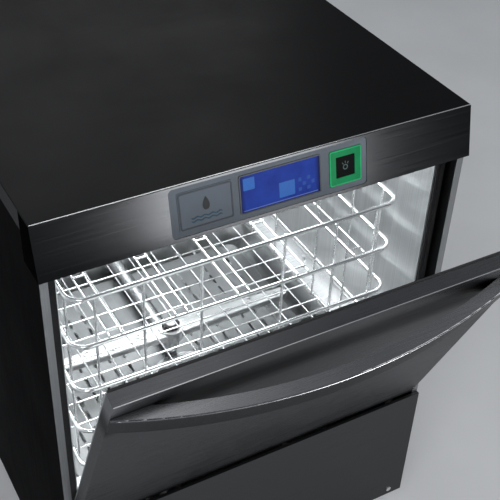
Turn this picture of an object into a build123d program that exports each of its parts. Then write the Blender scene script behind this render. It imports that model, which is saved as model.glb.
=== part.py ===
from build123d import *
import math
import os

# Undercounter commercial dishwasher with a drop-down front door.
# Millimetres, +Z up, front towards -Y. The origin is on the floor, under the middle of the cabinet.
# The door rests partly open. Its parts are drawn on planes that turn with it about the hinge axis.

# ---------------------------------------------------------------- driving dimensions
WIDTH = 600.0
FRONT_Y, BACK_Y = -300.0, 300.0
TOP_Z = 820.0
SKIN = 1.2                      # outer sheet thickness
GAP = 0.3                       # clearance between parts that only sit together
HALF = WIDTH / 2

BODY_HALF = 297.5               # outer face of the side panels, inside the lid and fascia
POST_INNER = 287.5              # inner edge of the bright front posts
POST_Y = -293.0                 # front face of the posts
POST_BACK_Y = -272.0            # back edge of the post's inner return

LID_FLANGE = 27.0               # height of the lid's side flange
FASCIA_HEIGHT = 70.0
FASCIA_LEAN = 15.0              # the fascia's foot stands this far in front of its top edge
FASCIA_DEPTH_Y = -252.0         # back edge of the fascia's side returns
FASCIA_BOTTOM = TOP_Z - FASCIA_HEIGHT

# wash chamber
OPEN_HALF = 271.0               # half width of the door opening
OPEN_LOW, OPEN_HIGH = 333.0, 730.0
SEAL_WIDTH = 12.5
FLANGE_Y = -270.0               # front face of the collar flange that carries the seal
COLLAR_BACK_Y = -201.0
CHAMBER_FRONT_Y = -206.0
CHAMBER_BACK_Y = 263.0
CHAMBER_HALF = 272.4            # inner half width behind the collar
CHAMBER_TOP = 772.0
RIM_Z = 320.0                   # tank rim

# door
HINGE_Y, HINGE_Z = -285.0, 320.0
DOOR_REST_DEG = 23.5            # how far the door stands open at rest
DOOR_HALF = 285.5
DOOR_BACK, DOOR_FRONT = -9.0, 13.5      # inner and outer faces, measured out from the hinge axis
DOOR_LOW, DOOR_HIGH = -14.0, 424.0      # measured up the door from the hinge axis

# handle
HANDLE_REACH = 52.0             # outer face of the bow in front of the door, at mid width
HANDLE_END_REACH = 3.5          # the same at the door's side edges
HANDLE_BAR = 18.0               # thickness of the bow
HANDLE_DROP = 30.0              # top of the bow below the door's top edge
HANDLE_TALL = 34.0
HANDLE_INNER = 238.0            # the hand gap ends here, each side of the middle

# wash arms
ARM_REACH = 230.0
ARM_WIDTH = 30.0
SPINDLE_R = 8.0
RUN = 0.05                      # radial running clearance
LOWER_PIPE_Z, UPPER_PIPE_Z = 283.0, 750.0
SUPPLY_R = 14.0
RISER_Y = 281.0

# rack
RACK_HALF = 250.0
RACK_BASE_Z = 341.2
RACK_LEVELS = (415.0, 494.0, 573.0, 652.0)

# under the tank
TRAY_Z = 60.0
TRAY_SHEET = 2.0
SUMP_X, SUMP_Y, SUMP_R = 0.0, -70.0, 80.0
SUMP_LOW, TANK_LOW = 178.0, 235.0
PUMP_X, PUMP_Z = -28.0, 125.0
FOOT_X, FOOT_FRONT_Y, FOOT_BACK_Y = 250.0, -240.0, 250.0
STEM_R, STEM_TOP_Z = 6.0, 108.0

fascia_tilt = math.atan2(FASCIA_LEAN, FASCIA_HEIGHT)
door_angle = math.radians(DOOR_REST_DEG)
# local x is +X, local y runs up the face, local z points out of the machine
FASCIA = Plane(
    origin=(0, FRONT_Y + FASCIA_LEAN, TOP_Z),
    x_dir=(1, 0, 0),
    z_dir=(0, -math.cos(fascia_tilt), math.sin(fascia_tilt)),
)
DOOR = Plane(
    origin=(0, HINGE_Y, HINGE_Z),
    x_dir=(1, 0, 0),
    z_dir=(0, -math.cos(door_angle), -math.sin(door_angle)),
)
# local x runs out of the door, local y up it, and the normal is -X
DOOR_SIDE = Plane(origin=DOOR.origin, x_dir=DOOR.z_dir, z_dir=DOOR.z_dir.cross(DOOR.y_dir))
# looks down the door's height: local x is +X, local y runs out of the door
DOOR_PLAN = Plane(origin=DOOR.origin, x_dir=(1, 0, 0), z_dir=-DOOR.y_dir)

parts = {}


def keep(name, builder):
    """Labels a finished piece and remembers it for export."""
    builder.part.label = name
    parts[name] = builder.part


def keep_group(name, builders):
    """Keeps several separate solids of one kind as one named piece."""
    with BuildPart() as group:
        for builder in builders:
            add(builder.part)
    keep(name, group)


def front_plane(y):
    """A plane facing the front at depth y: local x is +X and local y is +Z."""
    return Plane(origin=(0, y, 0), x_dir=(1, 0, 0), z_dir=(0, -1, 0))


def side_plane(x=0.0):
    """A plane facing +X: local x is +Y and local y is +Z."""
    return Plane.YZ.offset(x)


def span(low, high):
    """Centre of a stretch, for sketches placed with Locations."""
    return (low + high) / 2


# ---------------------------------------------------------------- cabinet shell
with BuildPart() as base_tray:
    with BuildSketch(Plane.XY.offset(TRAY_Z)):
        with Locations((0, span(-288, 296))):
            Rectangle(592, 584)
    extrude(amount=32)
    tray_top = base_tray.faces().sort_by(Axis.Z)[-1]
    offset(amount=-TRAY_SHEET, openings=tray_top)
    foot_spots = [(x, y) for x in (-FOOT_X, FOOT_X) for y in (FOOT_FRONT_Y, FOOT_BACK_Y)]
    with BuildSketch(Plane.XY.offset(TRAY_Z + TRAY_SHEET)):
        with Locations(*foot_spots):
            Circle(13)
    extrude(amount=18)
    with BuildSketch(Plane.XY.offset(TRAY_Z)):
        with Locations(*foot_spots):
            Circle(STEM_R + RUN)
    extrude(amount=40, mode=Mode.SUBTRACT)
    # air slots in the floor under the pumps
    with BuildSketch(Plane.XY.offset(TRAY_Z)):
        with Locations((60, 20)):
            with GridLocations(14, 0, 9, 1):
                SlotOverall(80, 6, rotation=90)
    extrude(amount=TRAY_SHEET, mode=Mode.SUBTRACT)
keep("base_tray", base_tray)

BACK_SCREW_Z = (110, 300, 500, 700)
BACK_SCREW_X = 286.0
POST_LOW = 93.0
SIDE_BACK_Y, SIDE_TOP_Z = 298.8, 816.0   # back and top edges of the side sheets
RETURN_X, RETURN_TOP_Z = 275.0, 792.0   # inner and top edges of their rear returns
REAR_LOW_Z, REAR_TOP_Z = 62.0, 792.5    # lower and upper edges of the back panel
with BuildPart() as left_side_panel:
    # outer sheet, notched at the front top for the fascia
    with BuildSketch(side_plane(-BODY_HALF)):
        with BuildLine():
            Polyline(
                (POST_Y, TRAY_Z), (SIDE_BACK_Y, TRAY_Z), (SIDE_BACK_Y, SIDE_TOP_Z),
                (FASCIA_DEPTH_Y + GAP, SIDE_TOP_Z),
                (FASCIA_DEPTH_Y + GAP, FASCIA_BOTTOM - 0.5), (POST_Y, FASCIA_BOTTOM - 0.5), close=True,
            )
        make_face()
    extrude(amount=SKIN)
    # front post: a bright strip, turned back along the door
    with BuildSketch(Plane.XY.offset(POST_LOW)):
        with BuildLine():
            Polyline(
                (-BODY_HALF, POST_Y), (-POST_INNER, POST_Y), (-POST_INNER, POST_BACK_Y),
                (-POST_INNER - SKIN, POST_BACK_Y), (-POST_INNER - SKIN, POST_Y + SKIN),
                (-BODY_HALF, POST_Y + SKIN), close=True,
            )
        make_face()
    extrude(amount=FASCIA_BOTTOM - 0.5 - POST_LOW)
    # rear return that the back panel is screwed to
    with BuildSketch(Plane.XY.offset(TRAY_Z)):
        with Locations((-span(RETURN_X, BODY_HALF), SIDE_BACK_Y - SKIN / 2)):
            Rectangle(BODY_HALF - RETURN_X, SKIN)
    extrude(amount=RETURN_TOP_Z - TRAY_Z)
    with BuildSketch(front_plane(290)):
        with Locations(*[(-BACK_SCREW_X, z) for z in BACK_SCREW_Z]):
            Circle(2.1)
    extrude(amount=-10, mode=Mode.SUBTRACT)
    # clearance hole in the post for the hinge shaft
    with BuildSketch(side_plane(-POST_INNER - 4)):
        with Locations((HINGE_Y, HINGE_Z)):
            Circle(8)
    extrude(amount=6, mode=Mode.SUBTRACT)
keep("left_side_panel", left_side_panel)

with BuildPart() as right_side_panel:
    add(left_side_panel.part.mirror(Plane.YZ))
keep("right_side_panel", right_side_panel)

INLET = (180.0, 128.0)
DRAIN = (-200.0, 104.0)
CORD = (-245.0, 200.0)
PICK_UP_EXITS = ((-168.0, 102.0), (-110.0, 102.0))
RIDGE_W, RIDGE_H = 460.0, 380.0         # outline of the stiffening ridge
with BuildPart() as rear_panel:
    with BuildSketch(front_plane(BACK_Y)):
        with Locations((0, span(REAR_LOW_Z, REAR_TOP_Z))):
            RectangleRounded(2 * BODY_HALF, REAR_TOP_Z - REAR_LOW_Z, 3)
    extrude(amount=SKIN)
    with BuildSketch(front_plane(BACK_Y)):
        with Locations(INLET):
            Circle(14)
        with Locations(DRAIN):
            Circle(13)
        with Locations(CORD):
            Circle(8.2)
        with Locations(*PICK_UP_EXITS):
            Circle(4.3)
        with Locations(*[(x, z) for x in (-BACK_SCREW_X, BACK_SCREW_X) for z in BACK_SCREW_Z]):
            Circle(2.1)
        # two stacks of cooling slots
        for x in (-140, 140):
            with Locations((x, 190)):
                with GridLocations(0, 12, 1, 6):
                    SlotOverall(120, 5)
    extrude(amount=SKIN, mode=Mode.SUBTRACT)
    # a raised panel stiffens the wide flat
    with BuildSketch(front_plane(BACK_Y)):
        with Locations((0, 520)):
            RectangleRounded(RIDGE_W, RIDGE_H, 20)
            RectangleRounded(RIDGE_W - 8, RIDGE_H - 8, 17, mode=Mode.SUBTRACT)
    extrude(amount=-1.0)
keep("rear_panel", rear_panel)

LID_FRONT_Y = -285.3
with BuildPart() as top_cover:
    with BuildSketch(Plane.XY.offset(TOP_Z)):
        with Locations((0, span(LID_FRONT_Y, BACK_Y))):
            Rectangle(WIDTH, BACK_Y - LID_FRONT_Y)
    extrude(amount=-SKIN)
    # side and rear flanges; the fascia takes their place at the front
    with BuildSketch(Plane.XY.offset(TOP_Z - LID_FLANGE)):
        with BuildLine():
            Polyline(
                (-HALF, FASCIA_DEPTH_Y + 1), (-HALF, BACK_Y), (HALF, BACK_Y), (HALF, FASCIA_DEPTH_Y + 1),
                (HALF - SKIN, FASCIA_DEPTH_Y + 1), (HALF - SKIN, BACK_Y - SKIN),
                (-HALF + SKIN, BACK_Y - SKIN), (-HALF + SKIN, FASCIA_DEPTH_Y + 1), close=True,
            )
        make_face()
    extrude(amount=LID_FLANGE - SKIN)
    rim = top_cover.edges().group_by(Axis.Z)[-1]
    fillet(rim, radius=0.9)
keep("top_cover", top_cover)

# ---------------------------------------------------------------- fascia and controls
PANEL_DOWN = 35.4               # middle of the control panel, measured down the fascia
PANEL_W, PANEL_H, PANEL_R = 272.0, 63.0, 6.0
LABEL_X, LABEL_W, LABEL_H = -89.5, 72.5, 49.0
SCREEN_X, SCREEN_W, SCREEN_H = 11.5, 109.5, 46.5
BUTTON_X, RING_OUTER, RING_INNER = 104.0, 46.5, 28.2
BUTTON_SIDE = 27.5

with BuildPart() as control_fascia:
    roof = TOP_Z - SKIN
    lean_at_roof = -HALF + FASCIA_LEAN - SKIN * math.tan(fascia_tilt)
    with BuildSketch(side_plane()):
        with BuildLine():
            Polyline(
                (lean_at_roof, roof), (FRONT_Y, FASCIA_BOTTOM), (FASCIA_DEPTH_Y, FASCIA_BOTTOM),
                (FASCIA_DEPTH_Y, roof), close=True,
            )
        make_face()
    extrude(amount=HALF, both=True)
    offset(amount=-SKIN, openings=control_fascia.faces().sort_by(Axis.Y)[-1])
    # the bottom and top lips stop short of the chamber
    with BuildSketch(Plane.XY.offset(FASCIA_BOTTOM - 1)):
        with Locations((0, span(-277, -250))):
            Rectangle(2 * (HALF - SKIN), 27)
    extrude(amount=3, mode=Mode.SUBTRACT)
    with BuildSketch(Plane.XY.offset(roof + 1)):
        with Locations((0, span(-268, -250))):
            Rectangle(2 * (HALF - SKIN), 18)
    extrude(amount=-3, mode=Mode.SUBTRACT)
    with BuildSketch(FASCIA):
        with Locations((0, -PANEL_DOWN)):
            RectangleRounded(PANEL_W, PANEL_H, PANEL_R)
    extrude(amount=-4, mode=Mode.SUBTRACT)
keep("control_fascia", control_fascia)

with BuildPart() as control_panel_plate:
    # flange behind the fascia, then the visible plate that fills its opening
    with BuildSketch(FASCIA.offset(-1.3)):
        with Locations((0, -PANEL_DOWN)):
            RectangleRounded(PANEL_W + 10, PANEL_H + 3.4, PANEL_R)
    extrude(amount=-2.2)
    with BuildSketch(FASCIA.offset(-1.3)):
        with Locations((0, -PANEL_DOWN)):
            RectangleRounded(PANEL_W - 2 * GAP, PANEL_H - 2 * GAP, PANEL_R - GAP)
    extrude(amount=0.6)
    with BuildSketch(FASCIA.offset(-0.5)):
        with Locations((SCREEN_X, -PANEL_DOWN)):
            Rectangle(SCREEN_W, SCREEN_H)
        with Locations((BUTTON_X, -PANEL_DOWN)):
            Rectangle(RING_OUTER, RING_OUTER)
    extrude(amount=-6, mode=Mode.SUBTRACT)
keep("control_panel_plate", control_panel_plate)

with BuildPart() as label_plate:
    with BuildSketch(FASCIA.offset(-0.7)):
        with Locations((LABEL_X, -PANEL_DOWN)):
            RectangleRounded(LABEL_W, LABEL_H, 2)
    extrude(amount=0.6)
keep("label_plate", label_plate)

with BuildPart() as display_screen:
    with BuildSketch(FASCIA.offset(-0.9)):
        with Locations((SCREEN_X, -PANEL_DOWN)):
            Rectangle(SCREEN_W - GAP, SCREEN_H - GAP)
    extrude(amount=-9)
    # circuit board and its plug, glued behind the glass
    with BuildSketch(FASCIA.offset(-9.9)):
        with Locations((SCREEN_X, -PANEL_DOWN)):
            Rectangle(SCREEN_W - 4, SCREEN_H - 2)
    extrude(amount=-1.6)
    with BuildSketch(FASCIA.offset(-11.5)):
        with Locations((SCREEN_X - 30, -PANEL_DOWN)):
            Rectangle(24, 8)
    extrude(amount=-7)
keep("display_screen", display_screen)

with BuildPart() as start_button_ring:
    with BuildSketch(FASCIA.offset(0.4)):
        with Locations((BUTTON_X, -PANEL_DOWN)):
            RectangleRounded(RING_OUTER - GAP, RING_OUTER - GAP, 2)
            Rectangle(RING_INNER, RING_INNER, mode=Mode.SUBTRACT)
    extrude(amount=-5)
keep("start_button_ring", start_button_ring)

with BuildPart() as start_button:
    with BuildSketch(FASCIA.offset(-0.3)):
        with Locations((BUTTON_X, -PANEL_DOWN)):
            RectangleRounded(BUTTON_SIDE, BUTTON_SIDE, 1.5)
    extrude(amount=-6)
    with BuildSketch(FASCIA.offset(-6.3)):
        with Locations((BUTTON_X, -PANEL_DOWN)):
            Circle(3)
    extrude(amount=-9.7)
keep("start_button", start_button)

with BuildPart() as start_switch:
    # microswitch on a saddle that bridges the back of the ring
    with BuildSketch(FASCIA.offset(-18.5)):
        with Locations((BUTTON_X, -PANEL_DOWN)):
            RectangleRounded(24, 16, 1)
    extrude(amount=-16)
    with BuildSketch(FASCIA.offset(-5)):
        for side in (-1, 1):
            with Locations((BUTTON_X + side * 18, -PANEL_DOWN)):
                Rectangle(2.5, 16)
    extrude(amount=-29.5)
    with BuildSketch(FASCIA.offset(-32.5)):
        with Locations((BUTTON_X, -PANEL_DOWN)):
            Rectangle(38.5, 16)
    extrude(amount=-2)
    with BuildSketch(FASCIA.offset(-34.5)):
        with Locations((BUTTON_X, -PANEL_DOWN)):
            with GridLocations(8, 0, 3, 1):
                Rectangle(0.8, 6)
    extrude(amount=-6)
keep("start_switch", start_switch)

# ---------------------------------------------------------------- lower front panel
PANEL_LOW, PANEL_TOP = 62.0, 299.0
PANEL_FACE_Y = -298.5
FRONT_SCREWS = [(x, 76) for x in (-270, 270)]
with BuildPart() as lower_front_panel:
    with BuildSketch(front_plane(PANEL_FACE_Y)):
        with Locations((0, span(PANEL_LOW, PANEL_TOP))):
            Rectangle(2 * BODY_HALF, PANEL_TOP - PANEL_LOW)
    extrude(amount=-5.2)
    offset(amount=-SKIN, openings=lower_front_panel.faces().sort_by(Axis.Y)[-1])
    with BuildSketch(front_plane(PANEL_FACE_Y - 0.5)):
        with Locations((0, 84)):
            with GridLocations(26, 0, 12, 1):
                SlotOverall(18, 4)
        with Locations(*FRONT_SCREWS):
            Circle(2.6)
    extrude(amount=-3, mode=Mode.SUBTRACT)
keep("lower_front_panel", lower_front_panel)

with BuildPart() as panel_screws:
    # eight button-head screws hold the back panel, two hold the lower front panel
    with BuildSketch(front_plane(BACK_Y)):
        with Locations(*[(x, z) for x in (-BACK_SCREW_X, BACK_SCREW_X) for z in BACK_SCREW_Z]):
            Circle(4)
    extrude(amount=-2.2)
    with BuildSketch(front_plane(BACK_Y)):
        with Locations(*[(x, z) for x in (-BACK_SCREW_X, BACK_SCREW_X) for z in BACK_SCREW_Z]):
            Circle(2)
    extrude(amount=8)
    with BuildSketch(front_plane(PANEL_FACE_Y)):
        with Locations(*FRONT_SCREWS):
            Circle(4.5)
    extrude(amount=1.8)
    with BuildSketch(front_plane(PANEL_FACE_Y)):
        with Locations(*FRONT_SCREWS):
            Circle(2.5)
    extrude(amount=-9)
keep("panel_screws", panel_screws)

# ---------------------------------------------------------------- wash chamber
COLLAR_HALF = OPEN_HALF + SKIN
FLANGE_HALF, FLANGE_TOP = 286.8, 747.0
with BuildPart() as chamber_collar:
    # flange that carries the seal
    with BuildSketch(front_plane(FLANGE_Y)):
        with Locations((0, span(RIM_Z, FLANGE_TOP))):
            Rectangle(2 * FLANGE_HALF, FLANGE_TOP - RIM_Z)
        with Locations((0, span(OPEN_LOW, OPEN_HIGH))):
            Rectangle(2 * OPEN_HALF, OPEN_HIGH - OPEN_LOW, mode=Mode.SUBTRACT)
    extrude(amount=-SKIN)
    # tube that reaches back into the chamber
    with BuildSketch(front_plane(FLANGE_Y + SKIN)):
        with Locations((0, span(RIM_Z, OPEN_HIGH + SKIN))):
            Rectangle(2 * COLLAR_HALF, OPEN_HIGH + SKIN - RIM_Z)
        with Locations((0, span(OPEN_LOW, OPEN_HIGH))):
            Rectangle(2 * OPEN_HALF, OPEN_HIGH - OPEN_LOW, mode=Mode.SUBTRACT)
        with Locations((0, span(RIM_Z, OPEN_LOW - SKIN))):
            Rectangle(2 * OPEN_HALF, OPEN_LOW - SKIN - RIM_Z, mode=Mode.SUBTRACT)
    extrude(amount=-(COLLAR_BACK_Y - FLANGE_Y - SKIN))
    # the sill drains into the tank, so it is short
    with BuildSketch(Plane.XY.offset(OPEN_LOW + 0.5)):
        with Locations((0, span(-236, COLLAR_BACK_Y + 1))):
            Rectangle(2 * OPEN_HALF, 36)
    extrude(amount=-3, mode=Mode.SUBTRACT)
keep("chamber_collar", chamber_collar)

with BuildPart() as wash_chamber:
    with BuildSketch(Plane.XY.offset(RIM_Z)):
        with Locations((0, span(CHAMBER_FRONT_Y, CHAMBER_BACK_Y))):
            Rectangle(2 * (CHAMBER_HALF + SKIN), CHAMBER_BACK_Y - CHAMBER_FRONT_Y + 2 * SKIN)
    extrude(amount=CHAMBER_TOP + SKIN - RIM_Z)
    offset(amount=-SKIN, openings=wash_chamber.faces().sort_by(Axis.Z)[0])
    # the collar slides in through the front wall
    with BuildSketch(front_plane(CHAMBER_FRONT_Y - 3)):
        with Locations((0, span(RIM_Z - 1, OPEN_HIGH + SKIN + 0.1))):
            Rectangle(2 * (COLLAR_HALF + 0.1), OPEN_HIGH + SKIN + 1.1 - RIM_Z)
    extrude(amount=-4, mode=Mode.SUBTRACT)
    with BuildSketch(front_plane(CHAMBER_BACK_Y - 2)):
        with Locations((0, UPPER_PIPE_Z)):
            Circle(SUPPLY_R + GAP)
    extrude(amount=-6, mode=Mode.SUBTRACT)
keep("wash_chamber", wash_chamber)

TANK_HALF, TANK_FRONT_Y, TANK_BACK_Y = 262.0, -250.0, 245.0
DRAIN_PUMP_Z = 206.0
DOSING_SPOT = (-150.0, -150.0)
HEATER_X, HEATER_HALF, HEATER_Z = 150.0, 15.0, 250.0
with BuildPart() as tank_bowl:
    with BuildSketch(Plane.XY.offset(TANK_LOW)):
        with Locations((0, span(TANK_FRONT_Y, TANK_BACK_Y))):
            RectangleRounded(2 * TANK_HALF, TANK_BACK_Y - TANK_FRONT_Y, 45)
    extrude(amount=RIM_Z - TANK_LOW)
    fillet(tank_bowl.edges().group_by(Axis.Z)[0], radius=20)
    offset(amount=-SKIN, openings=tank_bowl.faces().sort_by(Axis.Z)[-1])

with BuildPart() as wash_tank:
    # rim that the chamber stands on
    with BuildSketch(Plane.XY.offset(RIM_Z)):
        with Locations((0, span(FLANGE_Y + SKIN, CHAMBER_BACK_Y + SKIN))):
            Rectangle(2 * (CHAMBER_HALF + SKIN), CHAMBER_BACK_Y - FLANGE_Y)
        with Locations((0, span(TANK_FRONT_Y, TANK_BACK_Y))):
            RectangleRounded(2 * TANK_HALF - 1, TANK_BACK_Y - TANK_FRONT_Y - 1, 44.5, mode=Mode.SUBTRACT)
    extrude(amount=-SKIN)
    add(tank_bowl.part)
    # sump under the bowl, and its two spigots
    with BuildSketch(Plane.XY.offset(SUMP_LOW)):
        with Locations((SUMP_X, SUMP_Y)):
            Circle(SUMP_R)
    extrude(amount=TANK_LOW - SUMP_LOW)
    with BuildSketch(Plane.XY.offset(SUMP_LOW)):
        with Locations((PUMP_X, SUMP_Y)):
            Circle(18)
    extrude(amount=-19)
    with BuildSketch(side_plane(-SUMP_R + 1)):
        with Locations((SUMP_Y, DRAIN_PUMP_Z)):
            Circle(10)
    extrude(amount=-24)
    # dosing spigot
    with BuildSketch(Plane.XY.offset(TANK_LOW + SKIN)):
        with Locations(DOSING_SPOT):
            Circle(2.5)
    extrude(amount=-12)
    with BuildSketch(Plane.XY.offset(SUMP_LOW + SKIN)):
        with Locations((SUMP_X, SUMP_Y)):
            Circle(SUMP_R - SKIN)
    extrude(amount=TANK_LOW - SUMP_LOW + 5, mode=Mode.SUBTRACT)
    with BuildSketch(Plane.XY.offset(SUMP_LOW - 30)):
        with Locations((PUMP_X, SUMP_Y)):
            Circle(16.5)
    extrude(amount=40, mode=Mode.SUBTRACT)
    with BuildSketch(side_plane(-SUMP_R - 26)):
        with Locations((SUMP_Y, DRAIN_PUMP_Z)):
            Circle(8.5)
    extrude(amount=40, mode=Mode.SUBTRACT)
    with BuildSketch(Plane.XY.offset(TANK_LOW - 15)):
        with Locations(DOSING_SPOT):
            Circle(1.6)
    extrude(amount=20, mode=Mode.SUBTRACT)
    # holes in the back wall: lower supply pipe and the heater's two ends
    with BuildSketch(front_plane(TANK_BACK_Y - 6)):
        with Locations((0, LOWER_PIPE_Z)):
            Circle(SUPPLY_R + GAP)
        with Locations((HEATER_X - HEATER_HALF, HEATER_Z), (HEATER_X + HEATER_HALF, HEATER_Z)):
            Circle(4.6)
    extrude(amount=-10, mode=Mode.SUBTRACT)
keep("wash_tank", wash_tank)

SEAL_HALF, SEAL_THICK = 286.0, 3.5
LIP_OUTER, LIP_INNER = SEAL_HALF - 3.5, SEAL_HALF - 8.5
with BuildPart() as door_seal:
    # a soft black strip all round the opening, with a lip that the door presses
    with BuildSketch(front_plane(FLANGE_Y)):
        with Locations((0, span(OPEN_LOW, OPEN_HIGH))):
            RectangleRounded(2 * SEAL_HALF, OPEN_HIGH - OPEN_LOW + 2 * SEAL_WIDTH, 6)
            Rectangle(2 * (SEAL_HALF - SEAL_WIDTH), OPEN_HIGH - OPEN_LOW + 2, mode=Mode.SUBTRACT)
    extrude(amount=SEAL_THICK)
    with BuildSketch(front_plane(FLANGE_Y - SEAL_THICK)):
        with Locations((0, span(OPEN_LOW, OPEN_HIGH))):
            RectangleRounded(2 * LIP_OUTER, OPEN_HIGH - OPEN_LOW + 2 * SEAL_WIDTH - 7, 4)
            RectangleRounded(2 * LIP_INNER, OPEN_HIGH - OPEN_LOW + 8, 3, mode=Mode.SUBTRACT)
    extrude(amount=2)
keep("door_seal", door_seal)

GUIDE_TOP, GUIDE_SHEET, GUIDE_RISE = 338.0, 1.5, 34.0
GUIDE_OUTER = 272.3
GUIDE_WALL = GUIDE_OUTER - GUIDE_SHEET
with BuildPart() as rack_guides:
    # an angle each side that the rack slides on, flared at the front
    for side in (-1, 1):
        with BuildSketch(front_plane(-200)):
            with BuildLine():
                Polyline(
                    (side * GUIDE_OUTER, GUIDE_TOP - GUIDE_SHEET),
                    (side * GUIDE_OUTER, GUIDE_TOP + GUIDE_RISE),
                    (side * GUIDE_WALL, GUIDE_TOP + GUIDE_RISE), (side * GUIDE_WALL, GUIDE_TOP),
                    (side * 243, GUIDE_TOP), (side * 241, GUIDE_TOP - 4),
                    (side * 242.6, GUIDE_TOP - 4), (side * 244, GUIDE_TOP - GUIDE_SHEET), close=True,
                )
            make_face()
        extrude(amount=-440)
        with BuildSketch(side_plane(side * GUIDE_WALL)):
            with Locations(*[(y, GUIDE_TOP + 20) for y in (-170, 20, 210)]):
                RegularPolygon(6, 6)
        extrude(amount=-side * 4)
keep("rack_guides", rack_guides)

# ---------------------------------------------------------------- strainers, heater
STRAINER_TOP = 263.2
BASKET_R, BASKET_WALL, BASKET_RIM_R = 56.0, 1.5, 63.0
BASKET_FLOOR_Z = SUMP_LOW + 10
BAIL_HALF = 54.8
with BuildPart() as tank_strainers:
    # two perforated trays, on short legs, around the strainer basket
    for side in (-1, 1):
        with BuildSketch(Plane.XY.offset(STRAINER_TOP)):
            with Locations((side * span(1, 240), -2)):
                RectangleRounded(239, 450, 16)
            with Locations((SUMP_X, SUMP_Y)):
                Circle(59, mode=Mode.SUBTRACT)
            with Locations((side * 128, -2)):
                with GridLocations(26, 36, 7, 11):
                    SlotOverall(26, 5, rotation=90, mode=Mode.SUBTRACT)
        extrude(amount=-SKIN)
        with BuildSketch(Plane.XY.offset(STRAINER_TOP - SKIN)):
            with Locations(*[(side * x, y) for x in (25, 222) for y in (-212, 208)]):
                Circle(5)
        extrude(amount=-(STRAINER_TOP - 2 * SKIN - TANK_LOW - 0.1))
keep("tank_strainers", tank_strainers)

with BuildPart() as strainer_basket:
    with BuildSketch(Plane.XY.offset(BASKET_FLOOR_Z)):
        with Locations((SUMP_X, SUMP_Y)):
            Circle(BASKET_R)
            Circle(BASKET_R - BASKET_WALL, mode=Mode.SUBTRACT)
    extrude(amount=STRAINER_TOP + 2 - BASKET_FLOOR_Z)
    with BuildSketch(Plane.XY.offset(BASKET_FLOOR_Z)):
        with Locations((SUMP_X, SUMP_Y)):
            Circle(BASKET_R)
    extrude(amount=BASKET_WALL)
    with BuildSketch(Plane.XY.offset(STRAINER_TOP + 0.2)):
        with Locations((SUMP_X, SUMP_Y)):
            Circle(BASKET_RIM_R)
            Circle(BASKET_R - BASKET_WALL, mode=Mode.SUBTRACT)
    extrude(amount=2)
    # slots round the wall
    with Locations(Location((SUMP_X, SUMP_Y, span(SUMP_LOW, TANK_LOW) + 14))):
        with PolarLocations(55, 20):
            Box(6, 5, 48, mode=Mode.SUBTRACT)
    # bail handle, standing across the mouth
    with BuildLine() as bail:
        ThreePointArc(
            (-BAIL_HALF, SUMP_Y, STRAINER_TOP + 1), (0, SUMP_Y, STRAINER_TOP + 28),
            (BAIL_HALF, SUMP_Y, STRAINER_TOP + 1),
        )
    with BuildSketch(Plane(origin=bail.line @ 0, z_dir=bail.line % 0)):
        Circle(2.5)
    sweep(path=bail.line)
keep("strainer_basket", strainer_basket)

with BuildPart() as tank_heater:
    # one bent element under the strainers, its ends through the tank's back wall
    with BuildLine() as element:
        FilletPolyline(
            (HEATER_X - HEATER_HALF, 262, HEATER_Z), (HEATER_X - HEATER_HALF, -180, HEATER_Z),
            (HEATER_X + HEATER_HALF, -180, HEATER_Z), (HEATER_X + HEATER_HALF, 262, HEATER_Z), radius=14,
        )
    with BuildSketch(Plane(origin=element.line @ 0, z_dir=element.line % 0)):
        Circle(4.2)
    sweep(path=element.line)
    with BuildSketch(front_plane(TANK_BACK_Y + GAP)):
        with Locations((HEATER_X, HEATER_Z)):
            RectangleRounded(56, 26, 8)
    extrude(amount=-6)
keep("tank_heater", tank_heater)

# ---------------------------------------------------------------- water supply inside the chamber


def supply_pipe(pipe_z, collar_z, end_z, wall_y):
    """A pipe from the riser to mid chamber, ending in the turned spindle of a wash arm."""
    up = math.copysign(1, end_z - pipe_z)
    with BuildPart() as pipe:
        with BuildSketch(front_plane(PIPE_END_Y)):
            with Locations((0, pipe_z)):
                Circle(SUPPLY_R)
        extrude(amount=PIPE_END_Y)
        with Locations((0, 0, pipe_z)):
            Sphere(SUPPLY_R)
        with BuildSketch(Plane.XY.offset(pipe_z)):
            Circle(SUPPLY_R)
        extrude(amount=collar_z - pipe_z)
        with BuildSketch(Plane.XY.offset(collar_z)):
            Circle(SPINDLE_R)
        extrude(amount=end_z - collar_z)
        # lock nut against the wall
        with BuildSketch(front_plane(wall_y - 6 - GAP)):
            with Locations((0, pipe_z)):
                RegularPolygon(SUPPLY_R + 6, 6)
        extrude(amount=-6)
        # bore
        with BuildSketch(front_plane(PIPE_END_Y + 1)):
            with Locations((0, pipe_z)):
                Circle(SUPPLY_R - 1.5)
        extrude(amount=PIPE_END_Y + 1, mode=Mode.SUBTRACT)
        with BuildSketch(Plane.XY.offset(pipe_z)):
            Circle(5.5)
        extrude(amount=end_z - pipe_z - up * 4, mode=Mode.SUBTRACT)
        # water leaves the spindle through cross holes, into the arm's hub
        with BuildSketch(front_plane(SPINDLE_R + 2)):
            with Locations((0, span(collar_z, end_z) - up * 3)):
                Circle(3)
        extrude(amount=2 * SPINDLE_R + 4, mode=Mode.SUBTRACT)
    return pipe


PIPE_END_Y = 274.5
LOWER_HUB, UPPER_HUB = (303.0, 324.0), (708.0, 729.5)
keep_group("supply_pipes", [
    supply_pipe(LOWER_PIPE_Z, LOWER_HUB[0] - 0.5, LOWER_HUB[1] + 7, TANK_BACK_Y - SKIN),
    supply_pipe(UPPER_PIPE_Z, UPPER_HUB[1] + 0.5, UPPER_HUB[0] - 7, CHAMBER_BACK_Y),
])

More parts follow.
